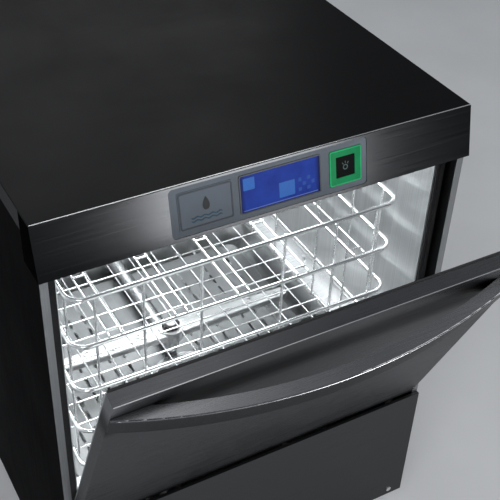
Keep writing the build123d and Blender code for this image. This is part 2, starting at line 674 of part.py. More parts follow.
RISER_LOW = 237.0
RINSE_INLET_Z = 330.0
with BuildPart() as riser_pipe:
    with BuildSketch(Plane.XY.offset(RISER_LOW)):
        with Locations((0, RISER_Y)):
            Circle(SUPPLY_R)
    extrude(amount=UPPER_PIPE_Z + 17 - RISER_LOW)
    # sockets for the two supply pipes
    with BuildSketch(front_plane(RISER_Y)):
        with Locations((0, LOWER_PIPE_Z), (0, UPPER_PIPE_Z)):
            Circle(SUPPLY_R + 3)
    extrude(amount=RISER_Y - CHAMBER_BACK_Y - SKIN - 1)
    # rinse inlet at the side
    with BuildSketch(side_plane()):
        with Locations((RISER_Y, RINSE_INLET_Z)):
            Circle(7)
    extrude(amount=36)
    with BuildSketch(Plane.XY.offset(RISER_LOW - 1)):
        with Locations((0, RISER_Y)):
            Circle(SUPPLY_R - 1.5)
    extrude(amount=UPPER_PIPE_Z + 14 - RISER_LOW, mode=Mode.SUBTRACT)
    with BuildSketch(front_plane(PIPE_END_Y + 0.5)):
        with Locations((0, LOWER_PIPE_Z), (0, UPPER_PIPE_Z)):
            Circle(SUPPLY_R + RUN)
    extrude(amount=14, mode=Mode.SUBTRACT)
    with BuildSketch(side_plane()):
        with Locations((RISER_Y, RINSE_INLET_Z)):
            Circle(5)
    extrude(amount=40, mode=Mode.SUBTRACT)
keep("riser_pipe", riser_pipe)


def wash_arm(hub_low, hub_high, jets_up):
    """A two-bladed spray arm that turns on a spindle, with jets on one face."""
    middle = span(hub_low, hub_high)
    tip = ARM_REACH - ARM_WIDTH / 2
    with BuildPart() as arm:
        # blades: rounded bars that get narrower towards the tips
        with BuildSketch(Plane.XY.offset(middle - 7)):
            with BuildLine():
                Polyline(
                    (-tip, 11), (0, ARM_WIDTH / 2 + 3), (tip, 11), (tip, -11),
                    (0, -ARM_WIDTH / 2 - 3), (-tip, -11), close=True,
                )
            make_face()
            with Locations((-tip, 0), (tip, 0)):
                Circle(11)
        extrude(amount=14)
        fillet(arm.edges().group_by(Axis.Z)[0], radius=4)
        fillet(arm.edges().group_by(Axis.Z)[-1], radius=4)
        with BuildSketch(Plane.XY.offset(hub_low)):
            Circle(22)
        extrude(amount=hub_high - hub_low)
        # raised jets with slots
        jets = ((60, 4), (105, -4), (150, 4), (200, -3))
        jet_spots = [(side * x, y) for side in (-1, 1) for x, y in jets]
        jet_base = middle + 6.5 if jets_up else middle - 6.5
        reach = 2.5 if jets_up else -2.5
        with BuildSketch(Plane.XY.offset(jet_base)):
            with Locations(*jet_spots):
                Circle(6)
        extrude(amount=reach)
        with BuildSketch(Plane.XY.offset(jet_base + reach)):
            with Locations(*jet_spots):
                SlotOverall(8, 2)
        extrude(amount=-2 * reach, mode=Mode.SUBTRACT)
        with BuildSketch(Plane.XY.offset(hub_low - 1)):
            Circle(SPINDLE_R + RUN)
        extrude(amount=hub_high - hub_low + 2, mode=Mode.SUBTRACT)
    return arm


keep("lower_wash_arm", wash_arm(*LOWER_HUB, True))
keep("upper_wash_arm", wash_arm(*UPPER_HUB, False))


def arm_nut(low):
    """A knurled knob pressed on the end of a spindle to hold the arm."""
    with BuildPart() as nut:
        with BuildSketch(Plane.XY.offset(low)):
            Circle(15)
            with PolarLocations(15, 12):
                Circle(1.8, mode=Mode.SUBTRACT)
            Circle(SPINDLE_R + RUN, mode=Mode.SUBTRACT)
        extrude(amount=6.6)
    return nut


keep_group("arm_nuts", [arm_nut(LOWER_HUB[1] + 0.4), arm_nut(UPPER_HUB[0] - 7.0)])

# ---------------------------------------------------------------- glass rack
WIRE_R = 3.0
RACK_FRONT_Y, RACK_BACK_Y = -240.0, 260.0
RACK_MID_Y = span(RACK_FRONT_Y, RACK_BACK_Y)
BITE = 0.8                              # how far crossing wires are welded into each other


def rods(ends, radius):
    """Adds straight round wires to the open part. Each is a pair of end points."""
    spots = []
    for start, end in ends:
        run = Vector(*end) - Vector(*start)
        middle = (Vector(*start) + Vector(*end)) / 2
        spots.append((Plane(origin=middle, z_dir=run).location, run.length))
    length = spots[0][1]
    with Locations(*[spot for spot, _ in spots]):
        Cylinder(radius, length)


RACK_REACH = RACK_HALF - WIRE_R         # wire centres of the outer frame
CORNER_R, RETURN = 22.0, 23.0           # bend of a corner, and how far the bent end runs back
POST_STATIONS = (-214, -147, -63, 63, 147, 214)
LOOSE = 0.1                             # the walls and the base grid are separate, a hair apart
POST_R, GRID_R = 2.0, 1.5
POST_INSET = RACK_REACH - WIRE_R - POST_R + BITE


def rack_end(side):
    """The front or back wall: five wires with bent ends, on upright posts."""
    near = RACK_MID_Y + side * RACK_REACH
    with BuildPart() as wall:
        for level in (RACK_BASE_Z,) + RACK_LEVELS:
            with BuildLine(Plane.XY.offset(level)) as wire:
                FilletPolyline(
                    (-RACK_REACH, near - side * RETURN), (-RACK_REACH, near),
                    (RACK_REACH, near), (RACK_REACH, near - side * RETURN), radius=CORNER_R,
                )
            with BuildSketch(Plane(origin=wire.line @ 0, z_dir=wire.line % 0)):
                Circle(WIRE_R)
            sweep(path=wire.line)
        post_y = RACK_MID_Y + side * POST_INSET
        rods([((x, post_y, RACK_BASE_Z), (x, post_y, RACK_LEVELS[-1])) for x in POST_STATIONS], POST_R)
    return wall


def rack_side(side):
    """A side wall: five straight wires between the bent ends, on upright posts."""
    half = RACK_REACH - RETURN - LOOSE
    near, post_x = side * RACK_REACH, side * POST_INSET
    with BuildPart() as wall:
        rods([((near, RACK_MID_Y - half, level), (near, RACK_MID_Y + half, level))
              for level in (RACK_BASE_Z,) + RACK_LEVELS], WIRE_R)
        rods([((post_x, RACK_MID_Y + y, RACK_BASE_Z), (post_x, RACK_MID_Y + y, RACK_LEVELS[-1]))
              for y in POST_STATIONS], POST_R)
    return wall


with BuildPart() as rack_base:
    low_z = RACK_BASE_Z + WIRE_R + GRID_R + LOOSE
    over = RACK_REACH - 1
    grid = range(-210, 211, 42)
    high_z = low_z + 2.4
    rods([((x, RACK_MID_Y - over, low_z), (x, RACK_MID_Y + over, low_z)) for x in grid], GRID_R)
    rods([((-over, RACK_MID_Y + y, high_z), (over, RACK_MID_Y + y, high_z)) for y in grid], GRID_R)
keep_group("glass_rack", [rack_end(-1), rack_end(1), rack_side(-1), rack_side(1), rack_base])

with BuildPart() as rack_dividers:
    # ladders of two wires that part the rows of glasses, laid over the basket's wires
    hang = RACK_LEVELS[2] + WIRE_R + GRID_R + LOOSE
    rows = (-189, -94.5, 0, 94.5, 189)
    rods([((x + side * 8.5, RACK_MID_Y - over, hang), (x + side * 8.5, RACK_MID_Y + over, hang))
          for x in rows for side in (-1, 1)], GRID_R)
    rods([((x - 9, RACK_MID_Y + y, hang + 2.2), (x + 9, RACK_MID_Y + y, hang + 2.2))
          for x in rows for y in (-236, -118, 0, 118, 236)], GRID_R)
keep("rack_dividers", rack_dividers)

# ---------------------------------------------------------------- door
PAN_SEAM = -5.0                 # where the outer pan ends and the inner panel begins
INNER_HALF = DOOR_HALF - 1.5    # half width of the inner panel
FIELD_W, FIELD_DEPTH = 500.0, 1.5       # the field pressed into its middle
FIELD_LOW, FIELD_HIGH = 30.0, 395.0
with BuildPart() as door_outer_skin:
    with BuildSketch(DOOR_SIDE):
        with BuildLine():
            Polyline(
                (PAN_SEAM, DOOR_HIGH), (DOOR_FRONT, DOOR_HIGH), (DOOR_FRONT, DOOR_LOW), (6, DOOR_LOW),
                (PAN_SEAM, -4.2), close=True,
            )
        make_face()
    extrude(amount=DOOR_HALF, both=True)
    seam_face = door_outer_skin.faces().filter_by(DOOR).sort_by(Axis.Y)[-1]
    offset(amount=-SKIN, openings=seam_face)
    # holes in the side returns for the hinge shafts
    with BuildSketch(DOOR_SIDE.offset(-DOOR_HALF - 1)):
        Circle(5.4)
    extrude(amount=2 * DOOR_HALF + 2, mode=Mode.SUBTRACT)
keep("door_outer_skin", door_outer_skin)

with BuildPart() as door_inner_panel:
    inner_low, inner_high = 0.5, DOOR_HIGH - 1.5
    with BuildSketch(DOOR.offset(DOOR_BACK)):
        with Locations((0, span(inner_low, inner_high))):
            Rectangle(2 * INNER_HALF, inner_high - inner_low)
    extrude(amount=PAN_SEAM - GAP - DOOR_BACK)
    # pressed field in the middle
    with BuildSketch(DOOR.offset(DOOR_BACK)):
        with Locations((0, span(FIELD_LOW, FIELD_HIGH))):
            RectangleRounded(FIELD_W, FIELD_HIGH - FIELD_LOW, 18)
    extrude(amount=-FIELD_DEPTH)
    with BuildSketch(DOOR.offset(DOOR_BACK + SKIN)):
        with Locations((0, span(inner_low, inner_high))):
            Rectangle(2 * (INNER_HALF - SKIN), inner_high - inner_low - 2 * SKIN)
    extrude(amount=10, mode=Mode.SUBTRACT)
    with BuildSketch(DOOR.offset(DOOR_BACK - FIELD_DEPTH + SKIN)):
        with Locations((0, span(FIELD_LOW, FIELD_HIGH))):
            RectangleRounded(FIELD_W - 2 * SKIN, FIELD_HIGH - FIELD_LOW - 2 * SKIN, 17)
    extrude(amount=10, mode=Mode.SUBTRACT)
keep("door_inner_panel", door_inner_panel)

with BuildPart() as door_insulation:
    with BuildSketch(DOOR.offset(-4.5)):
        with Locations((0, span(4, 420))):
            Rectangle(2 * 261, 416)
    extrude(amount=16.5)
keep("door_insulation", door_insulation)

with BuildPart() as door_handle:
    # a full-width bow: both faces are arcs, the ends run out flat on the door
    with BuildSketch(DOOR_PLAN.offset(-(DOOR_HIGH - HANDLE_DROP))):
        with BuildLine():
            ThreePointArc(
                (-DOOR_HALF, DOOR_FRONT + HANDLE_END_REACH), (0, DOOR_FRONT + HANDLE_REACH),
                (DOOR_HALF, DOOR_FRONT + HANDLE_END_REACH),
            )
            Line((DOOR_HALF, DOOR_FRONT + HANDLE_END_REACH), (DOOR_HALF, DOOR_FRONT))
            Line((DOOR_HALF, DOOR_FRONT), (HANDLE_INNER, DOOR_FRONT))
            ThreePointArc(
                (HANDLE_INNER, DOOR_FRONT), (0, DOOR_FRONT + HANDLE_REACH - HANDLE_BAR),
                (-HANDLE_INNER, DOOR_FRONT),
            )
            Line((-HANDLE_INNER, DOOR_FRONT), (-DOOR_HALF, DOOR_FRONT))
            Line((-DOOR_HALF, DOOR_FRONT), (-DOOR_HALF, DOOR_FRONT + HANDLE_END_REACH))
        make_face()
    extrude(amount=HANDLE_TALL)
    long_edges = door_handle.edges().filter_by(GeomType.CIRCLE).sort_by(SortBy.LENGTH)
    fillet(long_edges[-2:], radius=2.5)
keep("door_handle", door_handle)

LEVER_REACH = 38.0
LEVER_DROP_DEG = 11.5           # the lever points back, this far below level, with the door at rest
lever_end = (
    HINGE_Y + LEVER_REACH * math.cos(math.radians(LEVER_DROP_DEG)),
    HINGE_Z - LEVER_REACH * math.sin(math.radians(LEVER_DROP_DEG)),
)
SPRING_X = 283.0
PIN_X, PIN_R = 277.5, 2.5       # inner end of the spring pins, and their radius
SHAFT_R = 5.0
BRACKET_X = 289.0               # inner face of the hinge bearing plates
ANCHOR_X = 291.0                # inner face of the spring anchors


def hinge_lever(side):
    """Block inside the door, shaft through the post, and the lever that the spring pulls."""
    with BuildPart() as lever:
        with BuildSketch(DOOR.offset(-4.6)):
            with Locations((side * span(262, 284), span(-2, 60))):
                Rectangle(22, 62)
        extrude(amount=16.8)
        with BuildSketch(side_plane(side * 270)):
            with Locations((HINGE_Y, HINGE_Z)):
                Circle(SHAFT_R)
        extrude(amount=side * 25.6)
        with BuildSketch(side_plane(side * 292.2)):
            with Locations((HINGE_Y, HINGE_Z)):
                Circle(6.4)
            with BuildLine():
                Line((HINGE_Y, HINGE_Z), lever_end)
            trace(line_width=12)
            with Locations(lever_end):
                Circle(6)
        extrude(amount=side * 3.4)
        with BuildSketch(side_plane(side * PIN_X)):
            with Locations(lever_end):
                Circle(PIN_R)
        extrude(amount=side * 15)
    return lever


keep_group("hinge_levers", [hinge_lever(-1), hinge_lever(1)])


def hinge_bracket(side):
    """Bearing plate inside the post, held off the side panel by two studs."""
    with BuildPart() as bracket:
        with BuildSketch(side_plane(side * BRACKET_X)):
            with Locations((span(-291, -272.5), HINGE_Z)):
                RectangleRounded(18.5, 78, 4)
            with Locations((HINGE_Y, HINGE_Z)):
                Circle(SHAFT_R + RUN, mode=Mode.SUBTRACT)
        extrude(amount=side * 3)
        with BuildSketch(side_plane(side * BRACKET_X)):
            with Locations((-282, HINGE_Z - 31), (-282, HINGE_Z + 31)):
                Circle(5)
        extrude(amount=side * 7.2)
    return bracket


ANCHOR_Z = 104.0


def spring_anchor(side):
    """Bracket that stands on the tray and carries the spring's lower pin."""
    with BuildPart() as anchor:
        with BuildSketch(side_plane(side * ANCHOR_X)):
            with Locations((lever_end[0], span(TRAY_Z + TRAY_SHEET, 112))):
                Rectangle(16, 50)
        extrude(amount=side * 2.5)
        with BuildSketch(Plane.XY.offset(TRAY_Z + TRAY_SHEET)):
            with Locations((side * span(272, 293.5), lever_end[0])):
                Rectangle(21.5, 16)
        extrude(amount=2.5)
        with BuildSketch(side_plane(side * PIN_X)):
            with Locations((lever_end[0], ANCHOR_Z)):
                Circle(PIN_R)
        extrude(amount=side * 14)
    return anchor


COIL_R, COIL_WIRE, COIL_PITCH = 5.4, 1.2, 2.2


def door_spring(side):
    """Close-wound tension spring between the lever and its anchor, with a ring at each end."""
    low, high = ANCHOR_Z + 10, lever_end[1] - 10
    axis = Axis((side * SPRING_X, lever_end[0], 0), (0, 0, 1))
    turns = int((high - low) / (2 * COIL_PITCH))
    middle = Plane(origin=(side * SPRING_X, lever_end[0], 0), x_dir=(1, 0, 0), z_dir=(0, -1, 0))
    with BuildPart() as spring:
        # the coils are a tube with one rib per two turns
        with BuildSketch(middle):
            with Locations((COIL_R - 0.2, span(low, high))):
                Rectangle(1.6, high - low)
                with GridLocations(0, 2 * COIL_PITCH, 1, turns):
                    Circle(COIL_WIRE)
        revolve(axis=axis)
    with BuildPart() as rings:
        for ring_z in (ANCHOR_Z + 3, lever_end[1] - 3):
            pin = Plane(origin=(side * SPRING_X, lever_end[0], ring_z), z_dir=(1, 0, 0))
            with Locations(pin.location):
                Torus(6.8, COIL_WIRE)
    return spring, rings


keep_group("door_springs", [*door_spring(-1), *door_spring(1)])

with BuildPart() as door_magnet:
    with BuildSketch(DOOR.offset(-4.6)):
        with Locations((-276, 385)):
            RectangleRounded(12, 30, 2)
    extrude(amount=5)
keep("door_magnet", door_magnet)

with BuildPart() as door_switch:
    with BuildSketch(front_plane(FLANGE_Y + SKIN)):
        with Locations((-280, 705)):
            RectangleRounded(12, 36, 2)
    extrude(amount=-9)
    with BuildSketch(Plane.XY.offset(687)):
        with Locations((-280, FLANGE_Y + SKIN + 4.5)):
            Circle(2)
    extrude(amount=-14)
keep("door_switch", door_switch)

# ---------------------------------------------------------------- feet


def foot(x, y):
    """A levelling foot, screwed right in: round pad, spanner flats, sleeve and plain shank."""
    with BuildPart() as leg:
        with BuildSketch(Plane.XY):
            with Locations((x, y)):
                Circle(22)
        extrude(amount=10)
        fillet(leg.edges().group_by(Axis.Z)[-1], radius=3)
        with BuildSketch(Plane.XY.offset(10)):
            with Locations((x, y)):
                RegularPolygon(15, 6)
        extrude(amount=12)
        with BuildSketch(Plane.XY.offset(22)):
            with Locations((x, y)):
                Circle(12)
        extrude(amount=TRAY_Z - GAP - 22)
        with BuildSketch(Plane.XY.offset(TRAY_Z - GAP)):
            with Locations((x, y)):
                Circle(STEM_R)
        extrude(amount=STEM_TOP_Z - TRAY_Z + GAP)
    return leg


keep_group("levelling_feet", [foot(x, y) for x, y in foot_spots])

# ---------------------------------------------------------------- wash pump
PUMP_OUT = (0.0, 65.0)                  # axis of the upright outlet
PUMP_SHAFT_R = 6.0
MOTOR_Y = 150.0
with BuildPart() as pump_housing:
    with BuildSketch(front_plane(85)):
        with Locations((PUMP_X, PUMP_Z)):
            Circle(45)
    extrude(amount=40)
    with BuildSketch(front_plane(45)):
        with Locations((PUMP_X, PUMP_Z)):
            Circle(18)
    extrude(amount=25)
    with BuildSketch(Plane.XY.offset(PUMP_Z)):
        with Locations(PUMP_OUT):
            Circle(SUPPLY_R)
    extrude(amount=61)
    with BuildSketch(front_plane(79)):
        with Locations((PUMP_X, PUMP_Z)):
            Circle(38)
    extrude(amount=28, mode=Mode.SUBTRACT)
    with BuildSketch(front_plane(52)):
        with Locations((PUMP_X, PUMP_Z)):
            Circle(15)
    extrude(amount=40, mode=Mode.SUBTRACT)
    with BuildSketch(front_plane(90)):
        with Locations((PUMP_X, PUMP_Z)):
            Circle(PUMP_SHAFT_R + RUN)
    extrude(amount=15, mode=Mode.SUBTRACT)
    with BuildSketch(Plane.XY.offset(PUMP_Z + 10)):
        with Locations(PUMP_OUT):
            Circle(11)
    extrude(amount=60, mode=Mode.SUBTRACT)
keep("pump_housing", pump_housing)

with BuildPart() as pump_motor:
    with BuildSketch(front_plane(216)):
        with Locations((PUMP_X, PUMP_Z)):
            Circle(40)
            with PolarLocations(40, 20):
                Rectangle(5, 2.4)
    extrude(amount=130.8)
    with BuildSketch(Plane.XY.offset(TRAY_Z + TRAY_SHEET)):
        with Locations((PUMP_X, MOTOR_Y)):
            Rectangle(70, 90)
    extrude(amount=30)
    with BuildSketch(front_plane(206)):
        with Locations((PUMP_X, PUMP_Z)):
            Circle(33)
    extrude(amount=110, mode=Mode.SUBTRACT)
    with BuildSketch(front_plane(214)):
        with Locations((PUMP_X, PUMP_Z)):
            Circle(PUMP_SHAFT_R + RUN)
    extrude(amount=140, mode=Mode.SUBTRACT)
    with BuildSketch(side_plane(PUMP_X + 38)):
        with Locations((MOTOR_Y, PUMP_Z + 10)):
            RectangleRounded(46, 34, 4)
    extrude(amount=14)
keep("pump_motor", pump_motor)

with BuildPart() as pump_impeller:
    with BuildSketch(front_plane(212)):
        with Locations((PUMP_X, PUMP_Z)):
            Circle(PUMP_SHAFT_R)
    extrude(amount=158)
    with BuildSketch(front_plane(196)):
        with Locations((PUMP_X, PUMP_Z)):
            Circle(31)
    extrude(amount=90)
    with BuildSketch(front_plane(77)):
        with Locations((PUMP_X, PUMP_Z)):
            Circle(34)
    extrude(amount=4)
    with BuildSketch(front_plane(73)):
        with Locations((PUMP_X, PUMP_Z)):
            with PolarLocations(21, 6):
                Rectangle(24, 3, rotation=35)
    extrude(amount=16)
keep("pump_impeller", pump_impeller)


def hose(points, outer, inner, bend):
    """A hose that follows straight runs joined by equal bends."""
    with BuildPart() as tube:
        with BuildLine() as path:
            FilletPolyline(*points, radius=bend)
        with BuildSketch(Plane(origin=path.line @ 0, z_dir=path.line % 0)):
            Circle(outer)
            Circle(inner, mode=Mode.SUBTRACT)
        sweep(path=path.line)
    return tube


suction_hose = hose(
    [(PUMP_X, SUMP_Y, 176), (PUMP_X, SUMP_Y, PUMP_Z), (PUMP_X, 42, PUMP_Z)], 21, 18 + RUN, 32)
pressure_hose = hose(
    [(*PUMP_OUT, 170), (*PUMP_OUT, 207), (0, RISER_Y, 207), (0, RISER_Y, 255)], 16.8, SUPPLY_R + RUN, 20)

# ---------------------------------------------------------------- drain pump
DRAIN_OUT = (-137.0, SUMP_Y - 16)       # axis of the outlet that points down
DRAIN_FACE_X = -124.0
with BuildPart() as drain_pump:
    with BuildSketch(side_plane(DRAIN_FACE_X)):
        with Locations((SUMP_Y, DRAIN_PUMP_Z)):
            Circle(26)
    extrude(amount=-26)
    with BuildSketch(side_plane(DRAIN_FACE_X)):
        with Locations((SUMP_Y, DRAIN_PUMP_Z)):
            Circle(10)
    extrude(amount=16)
    with BuildSketch(side_plane(DRAIN_FACE_X - 26)):
        with Locations((SUMP_Y, DRAIN_PUMP_Z)):
            RectangleRounded(40, 40, 4)
    extrude(amount=-48)
    with BuildSketch(Plane.XY.offset(DRAIN_PUMP_Z)):
        with Locations(DRAIN_OUT):
            Circle(9)
    extrude(amount=-44)
    with BuildSketch(Plane.XY.offset(TRAY_Z + TRAY_SHEET)):
        with Locations((-174, SUMP_Y)):
            Rectangle(40, 3)
    extrude(amount=DRAIN_PUMP_Z - 19 - TRAY_Z)
    with BuildSketch(side_plane(-100)):
        with Locations((SUMP_Y, DRAIN_PUMP_Z)):
            Circle(7.5)
    extrude(amount=-28, mode=Mode.SUBTRACT)
    with BuildSketch(Plane.XY.offset(DRAIN_PUMP_Z - 50)):
        with Locations(DRAIN_OUT):
            Circle(7)
    extrude(amount=30, mode=Mode.SUBTRACT)
keep("drain_pump", drain_pump)

with BuildPart() as drain_coupling:
    with BuildSketch(side_plane(-82)):
        with Locations((SUMP_Y, DRAIN_PUMP_Z)):
            Circle(12.5)
            Circle(10 + RUN, mode=Mode.SUBTRACT)
    extrude(amount=-40)
keep_group("pump_hoses", [suction_hose, pressure_hose, drain_coupling])

TAIL_Y = 345.0
CUFF_R, CUFF_LENGTH = 13.0, 30.0
DRAIN_BORE_R = 9 + RUN
drain_run = hose(
    [(*DRAIN_OUT, 178), (*DRAIN_OUT, DRAIN[1]), (DRAIN_OUT[0], -20, DRAIN[1]),
     (DRAIN[0], 40, DRAIN[1]), (DRAIN[0], TAIL_Y, DRAIN[1])], 11.5, DRAIN_BORE_R, 24)
with BuildPart() as drain_hose:
    add(drain_run.part)
    # moulded cuff on the free end
    with BuildSketch(front_plane(TAIL_Y)):
        with Locations(DRAIN):
            Circle(CUFF_R)
            Circle(DRAIN_BORE_R, mode=Mode.SUBTRACT)
    extrude(amount=CUFF_LENGTH)
keep("drain_hose", drain_hose)

# ---------------------------------------------------------------- boiler and rinse circuit
BOILER_X, BOILER_Z, BOILER_R = 205.0, 150.0, 62.0
BOILER_FRONT_Y, BOILER_BACK_Y = -190.0, 60.0
BOILER_OUT, BOILER_FEED = (165.0, BOILER_Z), (225.0, 120.0)
LAGGING = 8.0
SADDLE_TOP_Z, SADDLE_W = 112.0, 120.0
with BuildPart() as boiler_tank:
    with BuildSketch(front_plane(BOILER_BACK_Y)):
        with Locations((BOILER_X, BOILER_Z)):
            Circle(BOILER_R)
    extrude(amount=BOILER_BACK_Y - BOILER_FRONT_Y)
    fillet(boiler_tank.edges().filter_by(GeomType.CIRCLE), radius=12)
    # outlet and feed spigots at the back, heater boss at the front
    with BuildSketch(front_plane(BOILER_BACK_Y + 22)):
        with Locations(BOILER_OUT, BOILER_FEED):
            Circle(6)
    extrude(amount=24)
    with BuildSketch(front_plane(BOILER_FRONT_Y)):
        with Locations((BOILER_X, BOILER_Z)):
            Circle(28)
    extrude(amount=5)
    with BuildSketch(front_plane(BOILER_BACK_Y - 1.5)):
        with Locations((BOILER_X, BOILER_Z)):
            Circle(BOILER_R - 14)
    extrude(amount=BOILER_BACK_Y - BOILER_FRONT_Y - 3, mode=Mode.SUBTRACT)
    with BuildSketch(front_plane(BOILER_BACK_Y + 24)):
        with Locations(BOILER_OUT, BOILER_FEED):
            Circle(4)
    extrude(amount=40, mode=Mode.SUBTRACT)
    with BuildSketch(front_plane(BOILER_FRONT_Y + 10)):
        with Locations((BOILER_X, BOILER_Z)):
            Circle(24)
    extrude(amount=20, mode=Mode.SUBTRACT)
keep("boiler_tank", boiler_tank)

with BuildPart() as boiler_insulation:
    with BuildSketch(front_plane(BOILER_BACK_Y - 14)):
        with Locations((BOILER_X, BOILER_Z)):
            Circle(BOILER_R + LAGGING)
            Circle(BOILER_R + GAP, mode=Mode.SUBTRACT)
    extrude(amount=BOILER_BACK_Y - BOILER_FRONT_Y - 28)
keep("boiler_insulation", boiler_insulation)

with BuildPart() as boiler_heater:
    with BuildSketch(front_plane(BOILER_FRONT_Y - 5.2)):
        with Locations((BOILER_X, BOILER_Z)):
            Circle(30)
    extrude(amount=5)
    with BuildSketch(front_plane(BOILER_FRONT_Y - 10.2)):
        with Locations((BOILER_X, BOILER_Z)):
            with PolarLocations(12, 3):
                Circle(4)
    extrude(amount=12)
    with BuildLine() as rod:
        FilletPolyline(
            (BOILER_X - 14, BOILER_FRONT_Y - 5, BOILER_Z), (BOILER_X - 14, 20, BOILER_Z),
            (BOILER_X + 14, 20, BOILER_Z), (BOILER_X + 14, BOILER_FRONT_Y - 5, BOILER_Z), radius=12,
        )
    with BuildSketch(Plane(origin=rod.line @ 0, z_dir=rod.line % 0)):
        Circle(4)
    sweep(path=rod.line)
keep("boiler_heater", boiler_heater)

with BuildPart() as boiler_saddles:
    for y in (-140, 10):
        with BuildSketch(front_plane(y)):
            with Locations((BOILER_X, span(TRAY_Z + TRAY_SHEET, SADDLE_TOP_Z))):
                Rectangle(SADDLE_W, SADDLE_TOP_Z - TRAY_Z - TRAY_SHEET)
            with Locations((BOILER_X, BOILER_Z)):
                Circle(BOILER_R + LAGGING + GAP, mode=Mode.SUBTRACT)
        extrude(amount=3)
        with BuildSketch(Plane.XY.offset(TRAY_Z + TRAY_SHEET)):
            with Locations((BOILER_X, y + 8)):
                Rectangle(SADDLE_W, 20)
        extrude(amount=3)

RINSE_PUMP_Y, RINSE_PUMP_Z = 140.0, 112.0
RINSE_OUT_X = 151.0
with BuildPart() as rinse_pump:
    with BuildSketch(side_plane(140)):
        with Locations((RINSE_PUMP_Y, RINSE_PUMP_Z)):
            Circle(27)
    extrude(amount=22)
    with BuildSketch(side_plane(162)):
        with Locations((RINSE_PUMP_Y, RINSE_PUMP_Z)):
            Circle(24)
            with PolarLocations(24, 16):
                Rectangle(4, 2)
    extrude(amount=76)
    with BuildSketch(side_plane(118)):
        with Locations((RINSE_PUMP_Y, RINSE_PUMP_Z)):
            Circle(7)
    extrude(amount=22)
    with BuildSketch(Plane.XY.offset(RINSE_PUMP_Z)):
        with Locations((RINSE_OUT_X, RINSE_PUMP_Y)):
            Circle(7)
    extrude(amount=50)
    with BuildSketch(Plane.XY.offset(TRAY_Z + TRAY_SHEET)):
        with Locations((200, RINSE_PUMP_Y)):
            Rectangle(50, 40)
    extrude(amount=30)
    with BuildSketch(side_plane(117)):
        with Locations((RINSE_PUMP_Y, RINSE_PUMP_Z)):
            Circle(5)
    extrude(amount=30, mode=Mode.SUBTRACT)
    with BuildSketch(Plane.XY.offset(RINSE_PUMP_Z + 5)):
        with Locations((RINSE_OUT_X, RINSE_PUMP_Y)):
            Circle(5)
    extrude(amount=50, mode=Mode.SUBTRACT)
keep("rinse_pump", rinse_pump)

keep_group("rinse_hoses", [
    hose([(BOILER_OUT[0], 64, BOILER_Z), (BOILER_OUT[0], 98, BOILER_Z), (100, 98, BOILER_Z),
          (100, RINSE_PUMP_Y, RINSE_PUMP_Z), (136, RINSE_PUMP_Y, RINSE_PUMP_Z)], 9, 7 + RUN, 12),
    hose([(RINSE_OUT_X, RINSE_PUMP_Y, 146), (RINSE_OUT_X, RINSE_PUMP_Y, 200), (RINSE_OUT_X, RISER_Y, 200),
          (RINSE_OUT_X, RISER_Y, RINSE_INLET_Z), (20, RISER_Y, RINSE_INLET_Z)], 9, 7 + RUN, 14),
    hose([(INLET[0], 255, INLET[1]), (INLET[0], 205, INLET[1]), (268, 205, INLET[1]),
          (268, 98, BOILER_FEED[1]), (BOILER_FEED[0], 98, BOILER_FEED[1]),
          (BOILER_FEED[0], 66, BOILER_FEED[1])], 8, 6 + RUN, 12),
])

INLET_R, THREAD_LENGTH = 13.2, 17.5
THREAD_END_Y = 318.0
with BuildPart() as inlet_valve:
    with BuildSketch(front_plane(297)):
        with Locations(INLET):
            RectangleRounded(34, 30, 4)
    extrude(amount=30)
    # tail through the back panel, threaded outside it
    with BuildSketch(front_plane(300.5)):
        with Locations(INLET):
            Circle(12.6)
    extrude(amount=4)
    with BuildSketch(front_plane(THREAD_END_Y)):
        with Locations(INLET):
            Circle(INLET_R)
    extrude(amount=THREAD_LENGTH)
    with BuildSketch(front_plane(267)):
        with Locations(INLET):
            Circle(6)
    extrude(amount=18)
    with BuildSketch(Plane.XY.offset(INLET[1] + 14)):
        with Locations((INLET[0], 282)):
            Circle(13)
    extrude(amount=32)
    with BuildSketch(front_plane(320)):
        with Locations(INLET):
            Circle(10)
    extrude(amount=30, mode=Mode.SUBTRACT)
    with BuildSketch(front_plane(295)):
        with Locations(INLET):
            Circle(4)
    extrude(amount=60, mode=Mode.SUBTRACT)
keep("inlet_valve", inlet_valve)

# ---------------------------------------------------------------- dosing pumps
DOSE_Z, DOSE_FACE_Y = 165.0, -262.0
DETERGENT_X, RINSE_AID_X = -214.0, -130.0
DOSE_BACK_Y, DOSE_TAIL_Y = -222.4, -248.0       # back of the gearmotor, line of the hose tails
TAIL_X, ROTOR_SHAFT_R = 12.0, 4.0
DOSE_BRACKET_X, DOSE_BRACKET_TOP = -172.0, 200.0


def dosing_pump(x):
    """Body of a peristaltic pump: gearmotor, ring-shaped track and two hose tails on top."""
    with BuildPart() as pump:
        with BuildSketch(front_plane(DOSE_BACK_Y)):
            with Locations((x, DOSE_Z)):
                RectangleRounded(54, 54, 5)
        extrude(amount=DOSE_BACK_Y - DOSE_FACE_Y)
        with BuildSketch(front_plane(DOSE_FACE_Y)):
            with Locations((x, DOSE_Z)):
                Circle(26)
                Circle(22, mode=Mode.SUBTRACT)
        extrude(amount=14)
        with BuildSketch(front_plane(-230)):
            with Locations((x, DOSE_Z)):
                Circle(ROTOR_SHAFT_R + RUN)
        extrude(amount=40, mode=Mode.SUBTRACT)
        with BuildSketch(Plane.XY.offset(DOSE_Z + 26)):
            with Locations((x - TAIL_X, DOSE_TAIL_Y), (x + TAIL_X, DOSE_TAIL_Y)):
                Circle(2.5)
        extrude(amount=8)
    return pump


